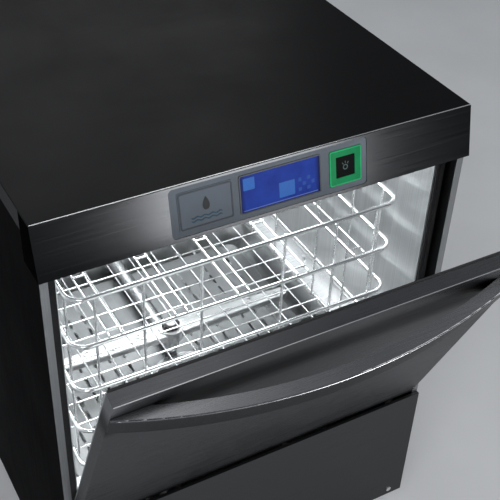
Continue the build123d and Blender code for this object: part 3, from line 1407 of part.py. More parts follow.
def dosing_rotor(x):
    """Three rollers on a carrier, on the gearmotor's shaft."""
    with BuildPart() as rotor:
        with BuildSketch(front_plane(-232)):
            with Locations((x, DOSE_Z)):
                Circle(ROTOR_SHAFT_R)
        extrude(amount=-232 - DOSE_FACE_Y + 1)
        with BuildSketch(front_plane(DOSE_FACE_Y - 1)):
            with Locations((x, DOSE_Z)):
                Circle(14)
                with PolarLocations(14, 3):
                    Circle(5)
        extrude(amount=11)
    return rotor


keep_group("dosing_pumps", [dosing_pump(DETERGENT_X), dosing_pump(RINSE_AID_X)])
keep("detergent_pump_rotor", dosing_rotor(DETERGENT_X))
keep("rinse_aid_pump_rotor", dosing_rotor(RINSE_AID_X))

with BuildPart() as dosing_bracket:
    with BuildSketch(front_plane(-220)):
        with Locations((DOSE_BRACKET_X, span(TRAY_Z + TRAY_SHEET, DOSE_BRACKET_TOP))):
            Rectangle(150, DOSE_BRACKET_TOP - TRAY_Z - TRAY_SHEET)
        with Locations((DOSE_BRACKET_X, 105)):
            RectangleRounded(110, 36, 6, mode=Mode.SUBTRACT)
    extrude(amount=2)
    with BuildSketch(Plane.XY.offset(TRAY_Z + TRAY_SHEET)):
        with Locations((DOSE_BRACKET_X, -211)):
            Rectangle(110, 22)
    extrude(amount=2)
keep_group("mounting_brackets", [
    hinge_bracket(-1), hinge_bracket(1), spring_anchor(-1), spring_anchor(1),
    boiler_saddles, dosing_bracket,
])

HOSE_TOP = 208.0
with BuildPart() as dosing_hoses:
    tail_z = DOSE_Z + 30
    left_tail, right_tail = DETERGENT_X - TAIL_X, DETERGENT_X + TAIL_X
    aid_left, aid_right = RINSE_AID_X - TAIL_X, RINSE_AID_X + TAIL_X
    (detergent_x, exit_z), (aid_x, _) = PICK_UP_EXITS
    runs = [
        [(right_tail, DOSE_TAIL_Y, tail_z), (right_tail, DOSE_TAIL_Y, HOSE_TOP),
         (DOSING_SPOT[0], DOSE_TAIL_Y, HOSE_TOP), (*DOSING_SPOT, HOSE_TOP), (*DOSING_SPOT, 233)],
        [(aid_right, DOSE_TAIL_Y, tail_z), (aid_right, DOSE_TAIL_Y, HOSE_TOP),
         (96, DOSE_TAIL_Y, HOSE_TOP), (96, 80, HOSE_TOP), (96, 80, 168)],
        [(left_tail, DOSE_TAIL_Y, tail_z), (left_tail, DOSE_TAIL_Y, HOSE_TOP + 14),
         (-256, -225, HOSE_TOP + 14), (-256, -225, 150), (-225, -180, 80), (-225, 20, 80),
         (detergent_x, 60, 80), (detergent_x, 230, 80), (detergent_x, 265, exit_z),
         (detergent_x, 330, exit_z)],
        [(aid_left, DOSE_TAIL_Y, tail_z), (aid_left, DOSE_TAIL_Y, HOSE_TOP + 14),
         (-84, -200, HOSE_TOP + 14), (-84, -200, 110), (aid_x, -120, 80), (aid_x, 60, 80),
         (aid_x, 200, exit_z), (aid_x, 330, exit_z)],
    ]
    for run in runs:
        with BuildLine() as path:
            FilletPolyline(*run, radius=8)
        with BuildSketch(Plane(origin=path.line @ 0, z_dir=path.line % 0)):
            Circle(4)
            Circle(2.5 + RUN, mode=Mode.SUBTRACT)
        sweep(path=path.line)
keep("dosing_hoses", dosing_hoses)

# ---------------------------------------------------------------- electrics
BOX_X, BOX_Y, BOX_LOW, BOX_HIGH = (-288.0, -226.0), (70.0, 235.0), 100.0, 205.0
CORD_R, CORD_EXIT_Z = 5.0, 180.0        # the mains cord, and its height where it leaves the box
LOOM_SPOT = (-268.0, 90.0)              # where the control cable enters the box
LOOM_X, LOOM_Y, LOOM_Z = -283.0, -240.0, 781.5
with BuildPart() as electrical_box:
    with BuildSketch(Plane.XY.offset(BOX_LOW)):
        with Locations((span(*BOX_X), span(*BOX_Y))):
            Rectangle(BOX_X[1] - BOX_X[0], BOX_Y[1] - BOX_Y[0])
    extrude(amount=BOX_HIGH - BOX_LOW)
    offset(amount=-SKIN, openings=electrical_box.faces().sort_by(Axis.Z)[-1])
    with BuildSketch(Plane.XY.offset(TRAY_Z + TRAY_SHEET)):
        with Locations((-270, 90), (-240, 90), (-270, 200), (-240, 200)):
            Circle(5)
    extrude(amount=BOX_LOW - TRAY_Z - TRAY_SHEET)
    with BuildSketch(front_plane(BOX_Y[1] + 1)):
        with Locations((CORD[0], CORD_EXIT_Z)):
            Circle(6.5)
    extrude(amount=4, mode=Mode.SUBTRACT)
keep("electrical_box", electrical_box)

with BuildPart() as electrical_box_cover:
    with BuildSketch(Plane.XY.offset(BOX_HIGH)):
        with Locations((span(*BOX_X), span(*BOX_Y))):
            Rectangle(BOX_X[1] - BOX_X[0], BOX_Y[1] - BOX_Y[0])
        with Locations(LOOM_SPOT):
            Circle(4, mode=Mode.SUBTRACT)
    extrude(amount=SKIN)
keep("electrical_box_cover", electrical_box_cover)

with BuildPart() as cable_gland:
    with BuildSketch(front_plane(BACK_Y + 8)):
        with Locations(CORD):
            RegularPolygon(13, 6)
    extrude(amount=8)
    with BuildSketch(front_plane(BACK_Y)):
        with Locations(CORD):
            Circle(8)
    extrude(amount=10)
    with BuildSketch(front_plane(BACK_Y + 18)):
        with Locations(CORD):
            Circle(10)
    extrude(amount=10)
    with BuildSketch(front_plane(BACK_Y + 20)):
        with Locations(CORD):
            Circle(CORD_R + RUN)
    extrude(amount=40, mode=Mode.SUBTRACT)
keep("cable_gland", cable_gland)

with BuildPart() as power_cable:
    with BuildLine() as cord:
        FilletPolyline(
            (CORD[0], BOX_Y[1] - 8, CORD_EXIT_Z), (CORD[0], BOX_Y[1] + 26, CORD_EXIT_Z),
            (CORD[0], BOX_Y[1] + 40, CORD[1]), (CORD[0], TAIL_Y + 10, CORD[1]), radius=8,
        )
    with BuildSketch(Plane(origin=cord.line @ 0, z_dir=cord.line % 0)):
        Circle(CORD_R)
    sweep(path=cord.line)
keep("power_cable", power_cable)

with BuildPart() as control_cable:
    with BuildLine() as loom:
        FilletPolyline(
            (SCREEN_X - 30, -273, LOOM_Z), (SCREEN_X - 30, LOOM_Y, LOOM_Z), (LOOM_X, LOOM_Y, LOOM_Z),
            (LOOM_X, -215, LOOM_Z), (LOOM_X, -215, 228), (*LOOM_SPOT, 228), (*LOOM_SPOT, 206.6), radius=7,
        )
    with BuildSketch(Plane(origin=loom.line @ 0, z_dir=loom.line % 0)):
        Circle(2.5)
    sweep(path=loom.line)
keep("control_cable", control_cable)

# ---------------------------------------------------------------- export
os.makedirs("parts", exist_ok=True)
for name, shape in parts.items():
    export_step(shape, "parts/" + name + ".step")
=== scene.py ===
import math

import bmesh
import bpy
from mathutils import Matrix, Vector


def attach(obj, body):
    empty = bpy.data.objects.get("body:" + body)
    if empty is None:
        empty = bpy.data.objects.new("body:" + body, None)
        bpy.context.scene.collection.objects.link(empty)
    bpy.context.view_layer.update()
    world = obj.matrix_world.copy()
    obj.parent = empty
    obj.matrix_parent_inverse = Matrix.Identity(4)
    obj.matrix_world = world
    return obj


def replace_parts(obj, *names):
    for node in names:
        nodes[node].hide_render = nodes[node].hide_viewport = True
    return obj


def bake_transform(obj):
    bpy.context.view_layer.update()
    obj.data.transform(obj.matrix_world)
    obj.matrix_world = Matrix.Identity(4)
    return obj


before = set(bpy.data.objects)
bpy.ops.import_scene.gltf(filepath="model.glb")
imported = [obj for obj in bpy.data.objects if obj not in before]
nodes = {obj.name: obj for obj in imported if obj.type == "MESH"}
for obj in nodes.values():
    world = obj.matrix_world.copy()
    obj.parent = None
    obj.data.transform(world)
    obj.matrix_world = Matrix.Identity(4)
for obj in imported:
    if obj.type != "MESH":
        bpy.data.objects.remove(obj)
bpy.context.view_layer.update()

# ------------------------------------------------------------------ driving places, in metres and radians
LID_TOP, LID_FRONT = 0.820, -0.285
LEAN = math.atan2(15.0, 70.0)  # the control panel leans forward
DOOR_OPEN = math.radians(23.5)  # the door as it stands at rest
HINGE_Y, HINGE_Z = -0.285, 0.320
DOOR_HEIGHT = 0.424  # from the hinge axis to the door's top face
POST_BACK = -0.292  # where the bright front post ends and the dark side panel starts
SCREEN_LEFT, SCREEN_RIGHT = -0.0433, 0.0662

# ------------------------------------------------------------------ material helpers


class Shader:
    """A material's node tree, with short calls for the shader nodes used here."""

    def __init__(self, name):
        self.mat = bpy.data.materials.new(name)
        self.mat.use_nodes = True
        self.tree = self.mat.node_tree
        self.bsdf = self.tree.nodes["Principled BSDF"]
        self.place = self.tree.nodes.new("ShaderNodeTexCoord").outputs["Object"]

    def put(self, kind, **values):
        node = self.tree.nodes.new(kind)
        for key, value in values.items():
            setattr(node, key, value)
        return node

    def link(self, source, target):
        self.tree.links.new(source, target)

    def noise(self, scale, stretch=(1, 1, 1), detail=4.0, rough=0.55):
        mapping = self.put("ShaderNodeMapping")
        mapping.inputs["Scale"].default_value = stretch
        self.link(self.place, mapping.inputs["Vector"])
        node = self.put("ShaderNodeTexNoise")
        node.inputs["Scale"].default_value = scale
        node.inputs["Detail"].default_value = detail
        node.inputs["Roughness"].default_value = rough
        self.link(mapping.outputs["Vector"], node.inputs["Vector"])
        return node.outputs["Fac"]

    def span(self, source, low, high, to_low=0, to_high=1):
        """Maps the source's range low to high onto to_low to to_high, and clamps it."""
        node = self.put("ShaderNodeMapRange", clamp=True)
        ends = {"From Min": low, "From Max": high, "To Min": to_low, "To Max": to_high}
        for key, value in ends.items():
            node.inputs[key].default_value = value
        self.link(source, node.inputs["Value"])
        return node.outputs["Result"]

    def math(self, operation, first, second):
        node = self.put("ShaderNodeMath", operation=operation)
        for slot, value in zip(node.inputs, (first, second)):
            if isinstance(value, (int, float)):
                slot.default_value = value
            else:
                self.link(value, slot)
        return node.outputs[0]

    def mix(self, factor, first, second):
        node = self.put("ShaderNodeMix", data_type="RGBA")
        self.link(factor, node.inputs["Factor"])
        for slot, value in ((node.inputs["A"], first), (node.inputs["B"], second)):
            if isinstance(value, tuple):
                slot.default_value = (*value, 1)
            else:
                self.link(value, slot)
        return node.outputs["Result"]

    def axis(self, letter):
        node = self.put("ShaderNodeSeparateXYZ")
        self.link(self.place, node.inputs[0])
        return node.outputs[letter]

    def normal(self, letter):
        geometry = self.put("ShaderNodeNewGeometry")
        node = self.put("ShaderNodeSeparateXYZ")
        self.link(geometry.outputs["True Normal"], node.inputs[0])
        return node.outputs[letter]

    def edges(self):
        """1 on sharp outward edges, 0 on flat faces."""
        geometry = self.put("ShaderNodeNewGeometry")
        return self.span(geometry.outputs["Pointiness"], 0.505, 0.56)

    def colour(self):
        """What feeds the base colour so far."""
        return self.bsdf.inputs["Base Color"].links[0].from_socket

    def painted_occlusion_shade(self, distance, darkest):
        """Paints shade into the base colour where other surfaces stand close."""
        node = self.put("ShaderNodeAmbientOcclusion", samples=8)
        node.inputs["Distance"].default_value = distance
        open_air = self.span(node.outputs["AO"], 0.50, 0.97)
        painted_shade = self.mix(open_air, (darkest, darkest, darkest), (1, 1, 1))
        blend = self.put("ShaderNodeMix", data_type="RGBA", blend_type="MULTIPLY")
        blend.inputs["Factor"].default_value = 1
        self.link(self.colour(), blend.inputs["A"])
        self.link(painted_shade, blend.inputs["B"])
        self.link(blend.outputs["Result"], self.bsdf.inputs["Base Color"])

    def bump(self, height, strength, distance):
        node = self.put("ShaderNodeBump")
        node.inputs["Strength"].default_value = strength
        node.inputs["Distance"].default_value = distance
        self.link(height, node.inputs["Height"])
        self.link(node.outputs["Normal"], self.bsdf.inputs["Normal"])


def shade(colour, factor):
    return tuple(min(1.0, channel * factor) for channel in colour)


# how the noise is stretched into brush lines, and the lines' direction, a little off the axis so that
# no face is square to it
GRAIN = {"x": (0.006, 1, 1), "y": (1, 0.006, 1), "z": (1, 1, 0.006)}
BRUSHED = {"x": (1, 0.03, 0.02), "y": (0.03, 1, 0.02), "z": (0.02, 0.03, 1)}


def steel(name, colour, rough=0.3, grain="x", scale=900, strength=0.12, wear=0.35, graze=1.0, cloud=1.0):
    """Brushed sheet: fine lines along one axis, cloudy smears, brighter worn edges.

    graze scales the reflection at grazing angles, and cloud the smears' effect on the roughness.
    """
    s = Shader(name)
    s.bsdf.inputs["Specular Tint"].default_value = (graze, graze, graze, 1)
    lines = s.noise(scale, GRAIN[grain], 3, 0.6)
    smear = s.noise(6, (1, 1, 1), 5, 0.6)
    tone = s.mix(s.span(lines, 0.3, 0.7), shade(colour, 0.86), shade(colour, 1.12))
    tone = s.mix(s.math("MULTIPLY", s.edges(), wear), tone, shade(colour, 2.2))
    s.link(tone, s.bsdf.inputs["Base Color"])
    s.bsdf.inputs["Metallic"].default_value = 1.0
    fine = s.span(lines, 0.25, 0.75, rough - 0.05, rough + 0.07)
    broad = s.span(smear, 0.3, 0.75, -0.03 * cloud, 0.07 * cloud)
    s.link(s.math("ADD", fine, broad), s.bsdf.inputs["Roughness"])
    # an explicit tangent, because the default one runs in rings round the object's Z axis
    spread = s.put("ShaderNodeVectorMath", operation="CROSS_PRODUCT")
    s.link(s.put("ShaderNodeNewGeometry").outputs["Normal"], spread.inputs[0])
    spread.inputs[1].default_value = BRUSHED[grain]
    s.link(spread.outputs["Vector"], s.bsdf.inputs["Tangent"])
    s.bsdf.inputs["Anisotropic"].default_value = 0.5
    s.bump(lines, strength, 0.0002)
    return s


def plastic(name, colour, rough=0.45, scale=700, strength=0.15, shine=0.5):
    """Moulded plastic: fine texture, slight colour drift and rubbed edges."""
    rubbed = tuple(min(1, channel * 1.6 + 0.004) for channel in colour)
    s = Shader(name)
    s.bsdf.inputs["Specular IOR Level"].default_value = shine
    pores = s.noise(scale, (1, 1, 1), 4)
    drift = s.noise(12, (1, 1, 1), 3)
    tone = s.mix(s.span(drift, 0.3, 0.7), shade(colour, 0.88), shade(colour, 1.15))
    tone = s.mix(s.math("MULTIPLY", s.edges(), 0.3), tone, rubbed)
    s.link(tone, s.bsdf.inputs["Base Color"])
    s.link(s.span(pores, 0.3, 0.7, rough - 0.06, rough + 0.1), s.bsdf.inputs["Roughness"])
    s.bump(pores, strength, 0.0003)
    return s


def foam(name, colour):
    """Open foam: coarse cells, with painted shade in their hollows."""
    s = Shader(name)
    cells = s.noise(420, (1, 1, 1), 6, 0.7)
    # painted shade: the colour darkens where the cells' bump is low
    s.link(s.mix(s.span(cells, 0.35, 0.65), shade(colour, 0.6), colour), s.bsdf.inputs["Base Color"])
    s.bsdf.inputs["Roughness"].default_value = 0.95
    s.bump(cells, 0.8, 0.002)
    return s


def glow(name, colour, power, body=1.0):
    """A lit plastic or glass face. Its brightness drifts a little, and body scales its unlit colour."""
    rough, mottle = 0.25, 0.12
    s = Shader(name)
    drift = s.noise(60, (1, 1, 1), 3)
    level = s.span(drift, 0.3, 0.7)
    lamp = s.mix(level, shade(colour, 1 - mottle), shade(colour, 1 + mottle))
    unlit = s.mix(level, shade(colour, body * (1 - mottle)), shade(colour, body))
    s.link(unlit, s.bsdf.inputs["Base Color"])
    s.link(lamp, s.bsdf.inputs["Emission Color"])
    s.bsdf.inputs["Emission Strength"].default_value = power
    s.bsdf.inputs["Specular IOR Level"].default_value = 0.02
    s.link(s.span(drift, 0.3, 0.7, rough, rough + 0.08), s.bsdf.inputs["Roughness"])
    s.bump(s.noise(900), 0.04, 0.0002)
    return s


# ------------------------------------------------------------------ materials of the CAD nodes


def side_panel_material():
    """Outer faces painted dark as shade, and a brighter polished post at the front."""
    s = steel("side_panel_steel", (0.30, 0.307, 0.315), 0.40, "z", 900, 0.1, 0.1)
    # painted shade: the outer faces behind the post get a dark colour and a weak reflection
    outside = s.span(s.math("ABSOLUTE", s.normal("X"), 0), 0.6, 0.7)
    behind = s.span(s.axis("Y"), POST_BACK - 0.0005, POST_BACK + 0.0005)
    painted_shade = s.math("MULTIPLY", outside, behind)
    s.link(s.mix(painted_shade, s.colour(), (0.018, 0.018, 0.0193)), s.bsdf.inputs["Base Color"])
    s.link(s.mix(painted_shade, (1, 1, 1), (0.30, 0.30, 0.30)), s.bsdf.inputs["Specular Tint"])
    return s.mat


def along_door(s):
    """Place along the door in metres: 0 at its top face, negative further down."""
    depth = s.math("MULTIPLY", s.axis("Y"), -math.sin(DOOR_OPEN))
    height = s.math("MULTIPLY", s.axis("Z"), math.cos(DOOR_OPEN))
    top = DOOR_HEIGHT - HINGE_Y * math.sin(DOOR_OPEN) + HINGE_Z * math.cos(DOOR_OPEN)
    return s.math("SUBTRACT", s.math("ADD", depth, height), top)


def door_panel_material():
    """Dark brushed door skin: darkest in a band of painted shadow and reflection behind the handle, its
    narrow top face painted darker as shade, and painted shade where other parts stand close.
    """
    s = steel("door_steel", (0.185, 0.189, 0.197), 0.26, "x", 900, 0.05, 0.6, 0.6)
    # painted shadow and reflection of the handle: the skin darkens to a band behind the bow and stays at
    # half its colour further down
    handle_band_shade, below_band_shade = 0.12, 0.50
    place = along_door(s)
    upper = s.span(place, -0.054, -0.024, handle_band_shade, 1)
    lower = s.span(place, -0.090, -0.066, below_band_shade, handle_band_shade)
    face = s.mix(s.math("MAXIMUM", upper, lower), (0, 0, 0), s.colour())
    # painted shade: the narrow top face is darker than the rest of the skin
    painted_top_face = s.span(place, -0.0006, -0.0002)
    s.link(s.mix(painted_top_face, face, (0.125, 0.128, 0.134)), s.bsdf.inputs["Base Color"])
    # painted shade where other parts stand close
    s.painted_occlusion_shade(0.10, 0.08)
    return s.mat


def handle_material():
    """Dark brushed bow with a lighter upper face, a painted highlight."""
    s = steel("handle_metal", (0.075, 0.076, 0.079), 0.24, "x", 1400, 0.03, 0.3, 0.5)
    # painted highlight: the upper face is lighter than the rest of the bow
    painted_top_face = s.span(along_door(s), -0.0312, -0.0304)
    s.link(s.mix(painted_top_face, s.colour(), (0.26, 0.264, 0.272)), s.bsdf.inputs["Base Color"])
    return s.mat


def display_material():
    """Lit blue glass, darker to both ends and slightly cloudy."""
    s = Shader("display_glass")
    across = s.axis("X")
    left = s.span(across, SCREEN_LEFT, SCREEN_LEFT + 0.0063)
    right = s.span(across, SCREEN_RIGHT, SCREEN_RIGHT - 0.0062)
    inside = s.math("MULTIPLY", left, right)
    clouds = s.noise(45, (1, 1, 1), 3)
    blue = s.mix(s.span(clouds, 0.3, 0.7), (0.0035, 0.0105, 0.085), (0.0055, 0.017, 0.115))
    tone = s.mix(inside, (0.002, 0.004, 0.03), blue)
    front = s.span(s.normal("Y"), -0.9, -0.95)
    s.link(s.mix(front, (0.02, 0.05, 0.03), tone), s.bsdf.inputs["Base Color"])
    s.link(s.mix(front, (0, 0, 0), tone), s.bsdf.inputs["Emission Color"])
    s.bsdf.inputs["Emission Strength"].default_value = 0.95
    s.bsdf.inputs["Roughness"].default_value = 0.3
    s.bsdf.inputs["Specular IOR Level"].default_value = 0.01
    s.bump(clouds, 0.02, 0.0005)
    return s.mat


def casting_material():
    """Painted casting: a rough coat with little bare metal."""
    s = steel("painted_casting", (0.10, 0.11, 0.12), 0.55, "x", 180, 0.5, 0.5)
    s.bsdf.inputs["Metallic"].default_value = 0.25
    return s.mat


bright = steel("bright_steel", (0.62, 0.63, 0.64), 0.28, "x", 700, 0.10, 0.2).mat
chamber = steel("chamber_steel", (0.62, 0.64, 0.65), 0.36, "z", 500, 0.08, 0.2).mat
strainer = steel("strainer_steel", (0.25, 0.257, 0.262), 0.40, "y", 400, 0.08, 0.3).mat
zinc = steel("zinc_sheet", (0.48, 0.49, 0.50), 0.42, "y", 300, 0.10, 0.3).mat
wire = steel("polished_wire", (0.80, 0.81, 0.82), 0.18, "x", 300, 0.05, 0.2).mat
top_steel = steel("top_steel", (0.022, 0.022, 0.0225), 0.34, "x", 1000, 0.10, 0.5, 0.6).mat
fascia_steel = steel("fascia_steel", (0.0140, 0.0145, 0.0153), 0.215, "x", 1400, 0.03, 0.5, 0.1, 0.2).mat
front_steel = steel("front_steel", (0.075, 0.076, 0.078), 0.3, "x", 900, 0.06, 0.4, 0.4).mat
side = side_panel_material()
black = plastic("black_plastic", (0.012, 0.012, 0.014), 0.42).mat
rubber = plastic("black_rubber", (0.010, 0.010, 0.011), 0.62, 350, 0.35).mat
white = plastic("white_plastic", (0.72, 0.72, 0.68), 0.4).mat
pump = plastic("pump_plastic", (0.05, 0.052, 0.055), 0.5, 500, 0.3).mat
button = plastic("button_black", (0.0008, 0.0013, 0.0014), 0.4, 700, 0.05, 0.01).mat
panel_grey = plastic("control_panel_grey", (0.048, 0.057, 0.069), 0.5, 500, 0.06, 0.1).mat
label_face = plastic("label_face", (0.045, 0.055, 0.068), 0.5, 900, 0.04, 0.08).mat
insulation = foam("insulation_foam", (0.62, 0.55, 0.38)).mat
motor = casting_material()
green_lamp = glow("lamp_green", (0.002, 0.150, 0.050), 1.05, 0.2).mat

# nodes that aren't named here are bright steel
looks = (
    (top_steel, ("top_cover",)),
    (fascia_steel, ("control_fascia",)),
    (front_steel, ("lower_front_panel",)),
    (side, ("left_side_panel", "right_side_panel")),
    (panel_grey, ("control_panel_plate",)),
    (label_face, ("label_plate",)),
    (display_material(), ("display_screen",)),
    (green_lamp, ("start_button_ring",)),
    (button, ("start_button",)),
    (door_panel_material(), ("door_outer_skin",)),
    (handle_material(), ("door_handle",)),
    (insulation, ("door_insulation", "boiler_insulation")),
    (chamber, ("chamber_collar", "wash_chamber", "wash_tank")),
    (strainer, ("tank_strainers",)),
    (wire, ("glass_rack", "rack_dividers")),
    (motor, ("pump_motor", "rinse_pump")),
    (zinc, ("rear_panel", "base_tray", "hinge_levers", "mounting_brackets", "electrical_box",
            "electrical_box_cover")),
    (black, ("start_switch", "arm_nuts", "detergent_pump_rotor", "rinse_aid_pump_rotor", "cable_gland")),
    (rubber, ("door_seal", "pump_hoses", "drain_hose", "rinse_hoses", "power_cable", "control_cable")),
    (pump, ("pump_housing", "drain_pump", "riser_pipe")),
    (white, ("door_magnet", "door_switch", "inlet_valve", "dosing_pumps", "dosing_hoses")),
)
material_of = {name: material for material, names in looks for name in names}
for name, obj in nodes.items():
    for slot in obj.material_slots:
        slot.material = material_of.get(name, bright)

# ------------------------------------------------------------------ added pieces


def solid(name, build, material, body, smooth=False, bevel=0.0):
    """Makes an object from a function that fills a bmesh, and rides it on a body."""
    mesh = bpy.data.meshes.new(name)
    bm = bmesh.new()
    build(bm)
    bmesh.ops.recalc_face_normals(bm, faces=bm.faces)
    for face in bm.faces:
        face.smooth = smooth
    bm.to_mesh(mesh)
    bm.free()
    obj = bpy.data.objects.new(name, mesh)
    bpy.context.scene.collection.objects.link(obj)
    mesh.materials.append(material)
    if bevel:
        soft = obj.modifiers.new("soft", "BEVEL")
        soft.width = bevel
        soft.segments = 2
    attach(obj, body)


def panel_point(x, down, out):
    """A point on the leaning control panel: x across, down the slope and out of it, in millimetres."""
    y = LID_FRONT * 1000 - down * math.sin(LEAN) - out * math.cos(LEAN)
    z = LID_TOP * 1000 - down * math.cos(LEAN) + out * math.sin(LEAN)
    return Vector((x, y, z)) / 1000


def plate(bm, outline, low, high):
    """Adds a flat plate: an outline of (x, down) points between two heights above the panel."""
    lower = [bm.verts.new(panel_point(x, down, low)) for x, down in outline]
    upper = [bm.verts.new(panel_point(x, down, high)) for x, down in outline]
    bm.faces.new(lower)
    bm.faces.new(upper)
    count = len(outline)
    for i in range(count):
        j = (i + 1) % count
        bm.faces.new((lower[i], lower[j], upper[j], upper[i]))


def rounded(x0, x1, d0, d1, radius, steps=4):
    """Outline of a rounded rectangle on the panel."""
    corners = (
        (x1 - radius, d1 - radius), (x0 + radius, d1 - radius),
        (x0 + radius, d0 + radius), (x1 - radius, d0 + radius),
    )
    points = []
    for turn, (x, down) in enumerate(corners):
        for i in range(steps + 1):
            angle = math.radians(90 * turn + 90 * i / steps)
            points.append((x + radius * math.cos(angle), down + radius * math.sin(angle)))
    return points


def circle(centre, radius, steps=20):
    """Outline of a circle on the panel."""
    angles = [2 * math.pi * i / steps for i in range(steps)]
    return [(centre.x + radius * math.cos(a), centre.y + radius * math.sin(a)) for a in angles]


def band(bm, outer, inner, low, high):
    """Adds a closed band between two outlines with the same number of points."""
    count = len(outer)
    rings = []
    for outline in (outer, inner):
        for out in (low, high):
            rings.append([bm.verts.new(panel_point(x, down, out)) for x, down in outline])
    outer_low, outer_high, inner_low, inner_high = rings
    for i in range(count):
        j = (i + 1) % count
        bm.faces.new((outer_low[i], outer_low[j], outer_high[j], outer_high[i]))
        bm.faces.new((inner_low[i], inner_high[i], inner_high[j], inner_low[j]))
        bm.faces.new((outer_high[i], outer_high[j], inner_high[j], inner_high[i]))
        bm.faces.new((outer_low[i], inner_low[i], inner_low[j], outer_low[j]))


def border(x0, x1, d0, d1, line, radius, inner_radius, low, high):
    """A build function for a raised rectangular border of one line width."""
    outer = rounded(x0, x1, d0, d1, radius)
    inner = rounded(x0 + line, x1 - line, d0 + line, d1 - line, inner_radius)
    return lambda bm: band(bm, outer, inner, low, high)


# label plate: a thin raised frame round a generic drop and wave lines
INK_HEIGHT = 0.25


def label_drop(bm):
    """A water drop, pointed at its top."""
    x, down, size, steps = -89.5, 31.0, 9.5, 20
    outline = []
    for i in range(steps):
        turn = 2 * math.pi * i / steps
        half_width = size * 0.62 * math.sin(turn) * math.sin(turn / 2)
        outline.append((x + half_width, down - size * 0.9 * math.cos(turn)))
    plate(bm, outline, 0.0, INK_HEIGHT)


def label_waves(bm):
    """Two wave lines of four crests each under the drop."""
    start, length, steps = -109.5, 40, 32
    thickness, swing, first_row, row_step = 1.5, 0.9, 45.5, 4.2
    for row in range(2):
        top, bottom = [], []
        for i in range(steps + 1):
            x = start + length * i / steps
            down = first_row + row * row_step + swing * math.sin(8 * math.pi * i / steps)
            top.append((x, down))
            bottom.append((x, down + thickness))
        plate(bm, top + bottom[::-1], 0.0, INK_HEIGHT)


def print_material(name, colour, rough=0.5):
    return plastic(name, colour, rough, 700, 0.05, 0.1).mat


label_ink = print_material("label_ink", (0.006, 0.007, 0.009))
label_blue = print_material("label_blue", (0.005, 0.028, 0.048))
label_border = print_material("label_border", (0.022, 0.026, 0.032))
label_frame = border(-124.5, -54.5, 12.2, 58.6, 1.6, 2.5, 1.8, 0.0, 0.35)
solid("label_frame", label_frame, label_border, "cabinet")
solid("label_drop", label_drop, label_ink, "cabinet")
solid("label_waves", label_waves, label_blue, "cabinet")

# display: lighter tiles, a bright base line and small generic cells, just above the sunken glass
GLASS = -0.85


def display_tiles(bm):
    plate(bm, rounded(-39.5, -24.0, 15.5, 31.0, 0.8, 2), GLASS, GLASS + 0.15)
    plate(bm, rounded(9.0, 31.0, 33.5, 53.0, 0.8, 2), GLASS, GLASS + 0.15)


def display_cells(bm):
    """A small chequered block of square cells."""
    side_length = 4.6
    for column in range(4):
        for row in range(3):
            if (column + row) % 2 == 0:
                x, down = 36.0 + column * 6.2, 34.0 + row * 6.4
                outline = rounded(x, x + side_length, down, down + side_length, 0.5, 2)
                plate(bm, outline, GLASS, GLASS + 0.13)


def display_base_line(bm):
    plate(bm, rounded(-40.5, 63.5, 56.4, 57.6, 0.5, 2), GLASS, GLASS + 0.20)


tile_dim = glow("display_tile_dim", (0.006, 0.027, 0.13), 0.9).mat
tile_light = glow("display_tile_light", (0.009, 0.047, 0.17), 0.9).mat
line_light = glow("display_line", (0.035, 0.055, 0.17), 0.9).mat
bezel_grey = print_material("bezel_grey", (0.020, 0.025, 0.033), 0.4)
display_bezel = border(-45.2, 68.2, 10.2, 60.6, 1.6, 2.2, 1.2, -0.7, 0.15)
solid("display_tiles", display_tiles, tile_light, "cabinet")
solid("display_cells", display_cells, tile_dim, "cabinet")
solid("display_base_line", display_base_line, line_light, "cabinet")
solid("display_bezel", display_bezel, bezel_grey, "cabinet")


def start_mark(bm):
    """A generic spray mark on the start button: a ring and three rays above it."""
    low, high = -0.32, -0.12
    centre = Vector((104, 36.5))
    band(bm, circle(centre, 3.6), circle(centre, 2.4), low, high)
    for angle in (-125, -90, -55):
        turn = math.radians(angle)
        along = Vector((math.cos(turn), math.sin(turn)))
        half = Vector((-math.sin(turn), math.cos(turn))) * 0.5
        start, end = centre + along * 4.8, centre + along * 8.0
        corners = (start - half, end - half, end + half, start + half)
        plate(bm, [tuple(corner) for corner in corners], low, high)


mark_grey = glow("mark_grey", (0.035, 0.05, 0.05), 0.8).mat
green_bead = glow("lamp_green_light", (0.010, 0.20, 0.075), 1.3, 0.3).mat
ring_bead = border(80.9, 127.1, 12.3, 58.5, 1.5, 2.5, 1.8, 0.35, 0.75)
solid("start_mark", start_mark, mark_grey, "start_key")
solid("ring_bead", ring_bead, green_bead, "cabinet", bevel=0.0002)

# ------------------------------------------------------------------ painted highlight lines along the edges
across = Vector((1, 0, 0))
door_up = Vector((0, -math.sin(DOOR_OPEN), math.cos(DOOR_OPEN)))
door_out = Vector((0, -math.cos(DOOR_OPEN), -math.sin(DOOR_OPEN)))


def door_point(x, up, out):
    """A point on the door as it stands at rest, in millimetres from the hinge axis."""
    hinge = Vector((0, HINGE_Y, HINGE_Z))
    return hinge + across * (x / 1000) + door_up * (up / 1000) + door_out * (out / 1000)


def bar(bm, start, end, width, height, side_way, up_way):
    """Adds a square bar between two points."""
    corners = []
    for point in (start, end):
        corners.append([bm.verts.new(point + side_way * (a * width / 2) + up_way * (b * height / 2))
                        for a, b in ((-1, -1), (1, -1), (1, 1), (-1, 1))])
    first, last = corners
    bm.faces.new(first)
    bm.faces.new(last)
    for i in range(4):
        j = (i + 1) % 4
        bm.faces.new((first[i], first[j], last[j], last[i]))


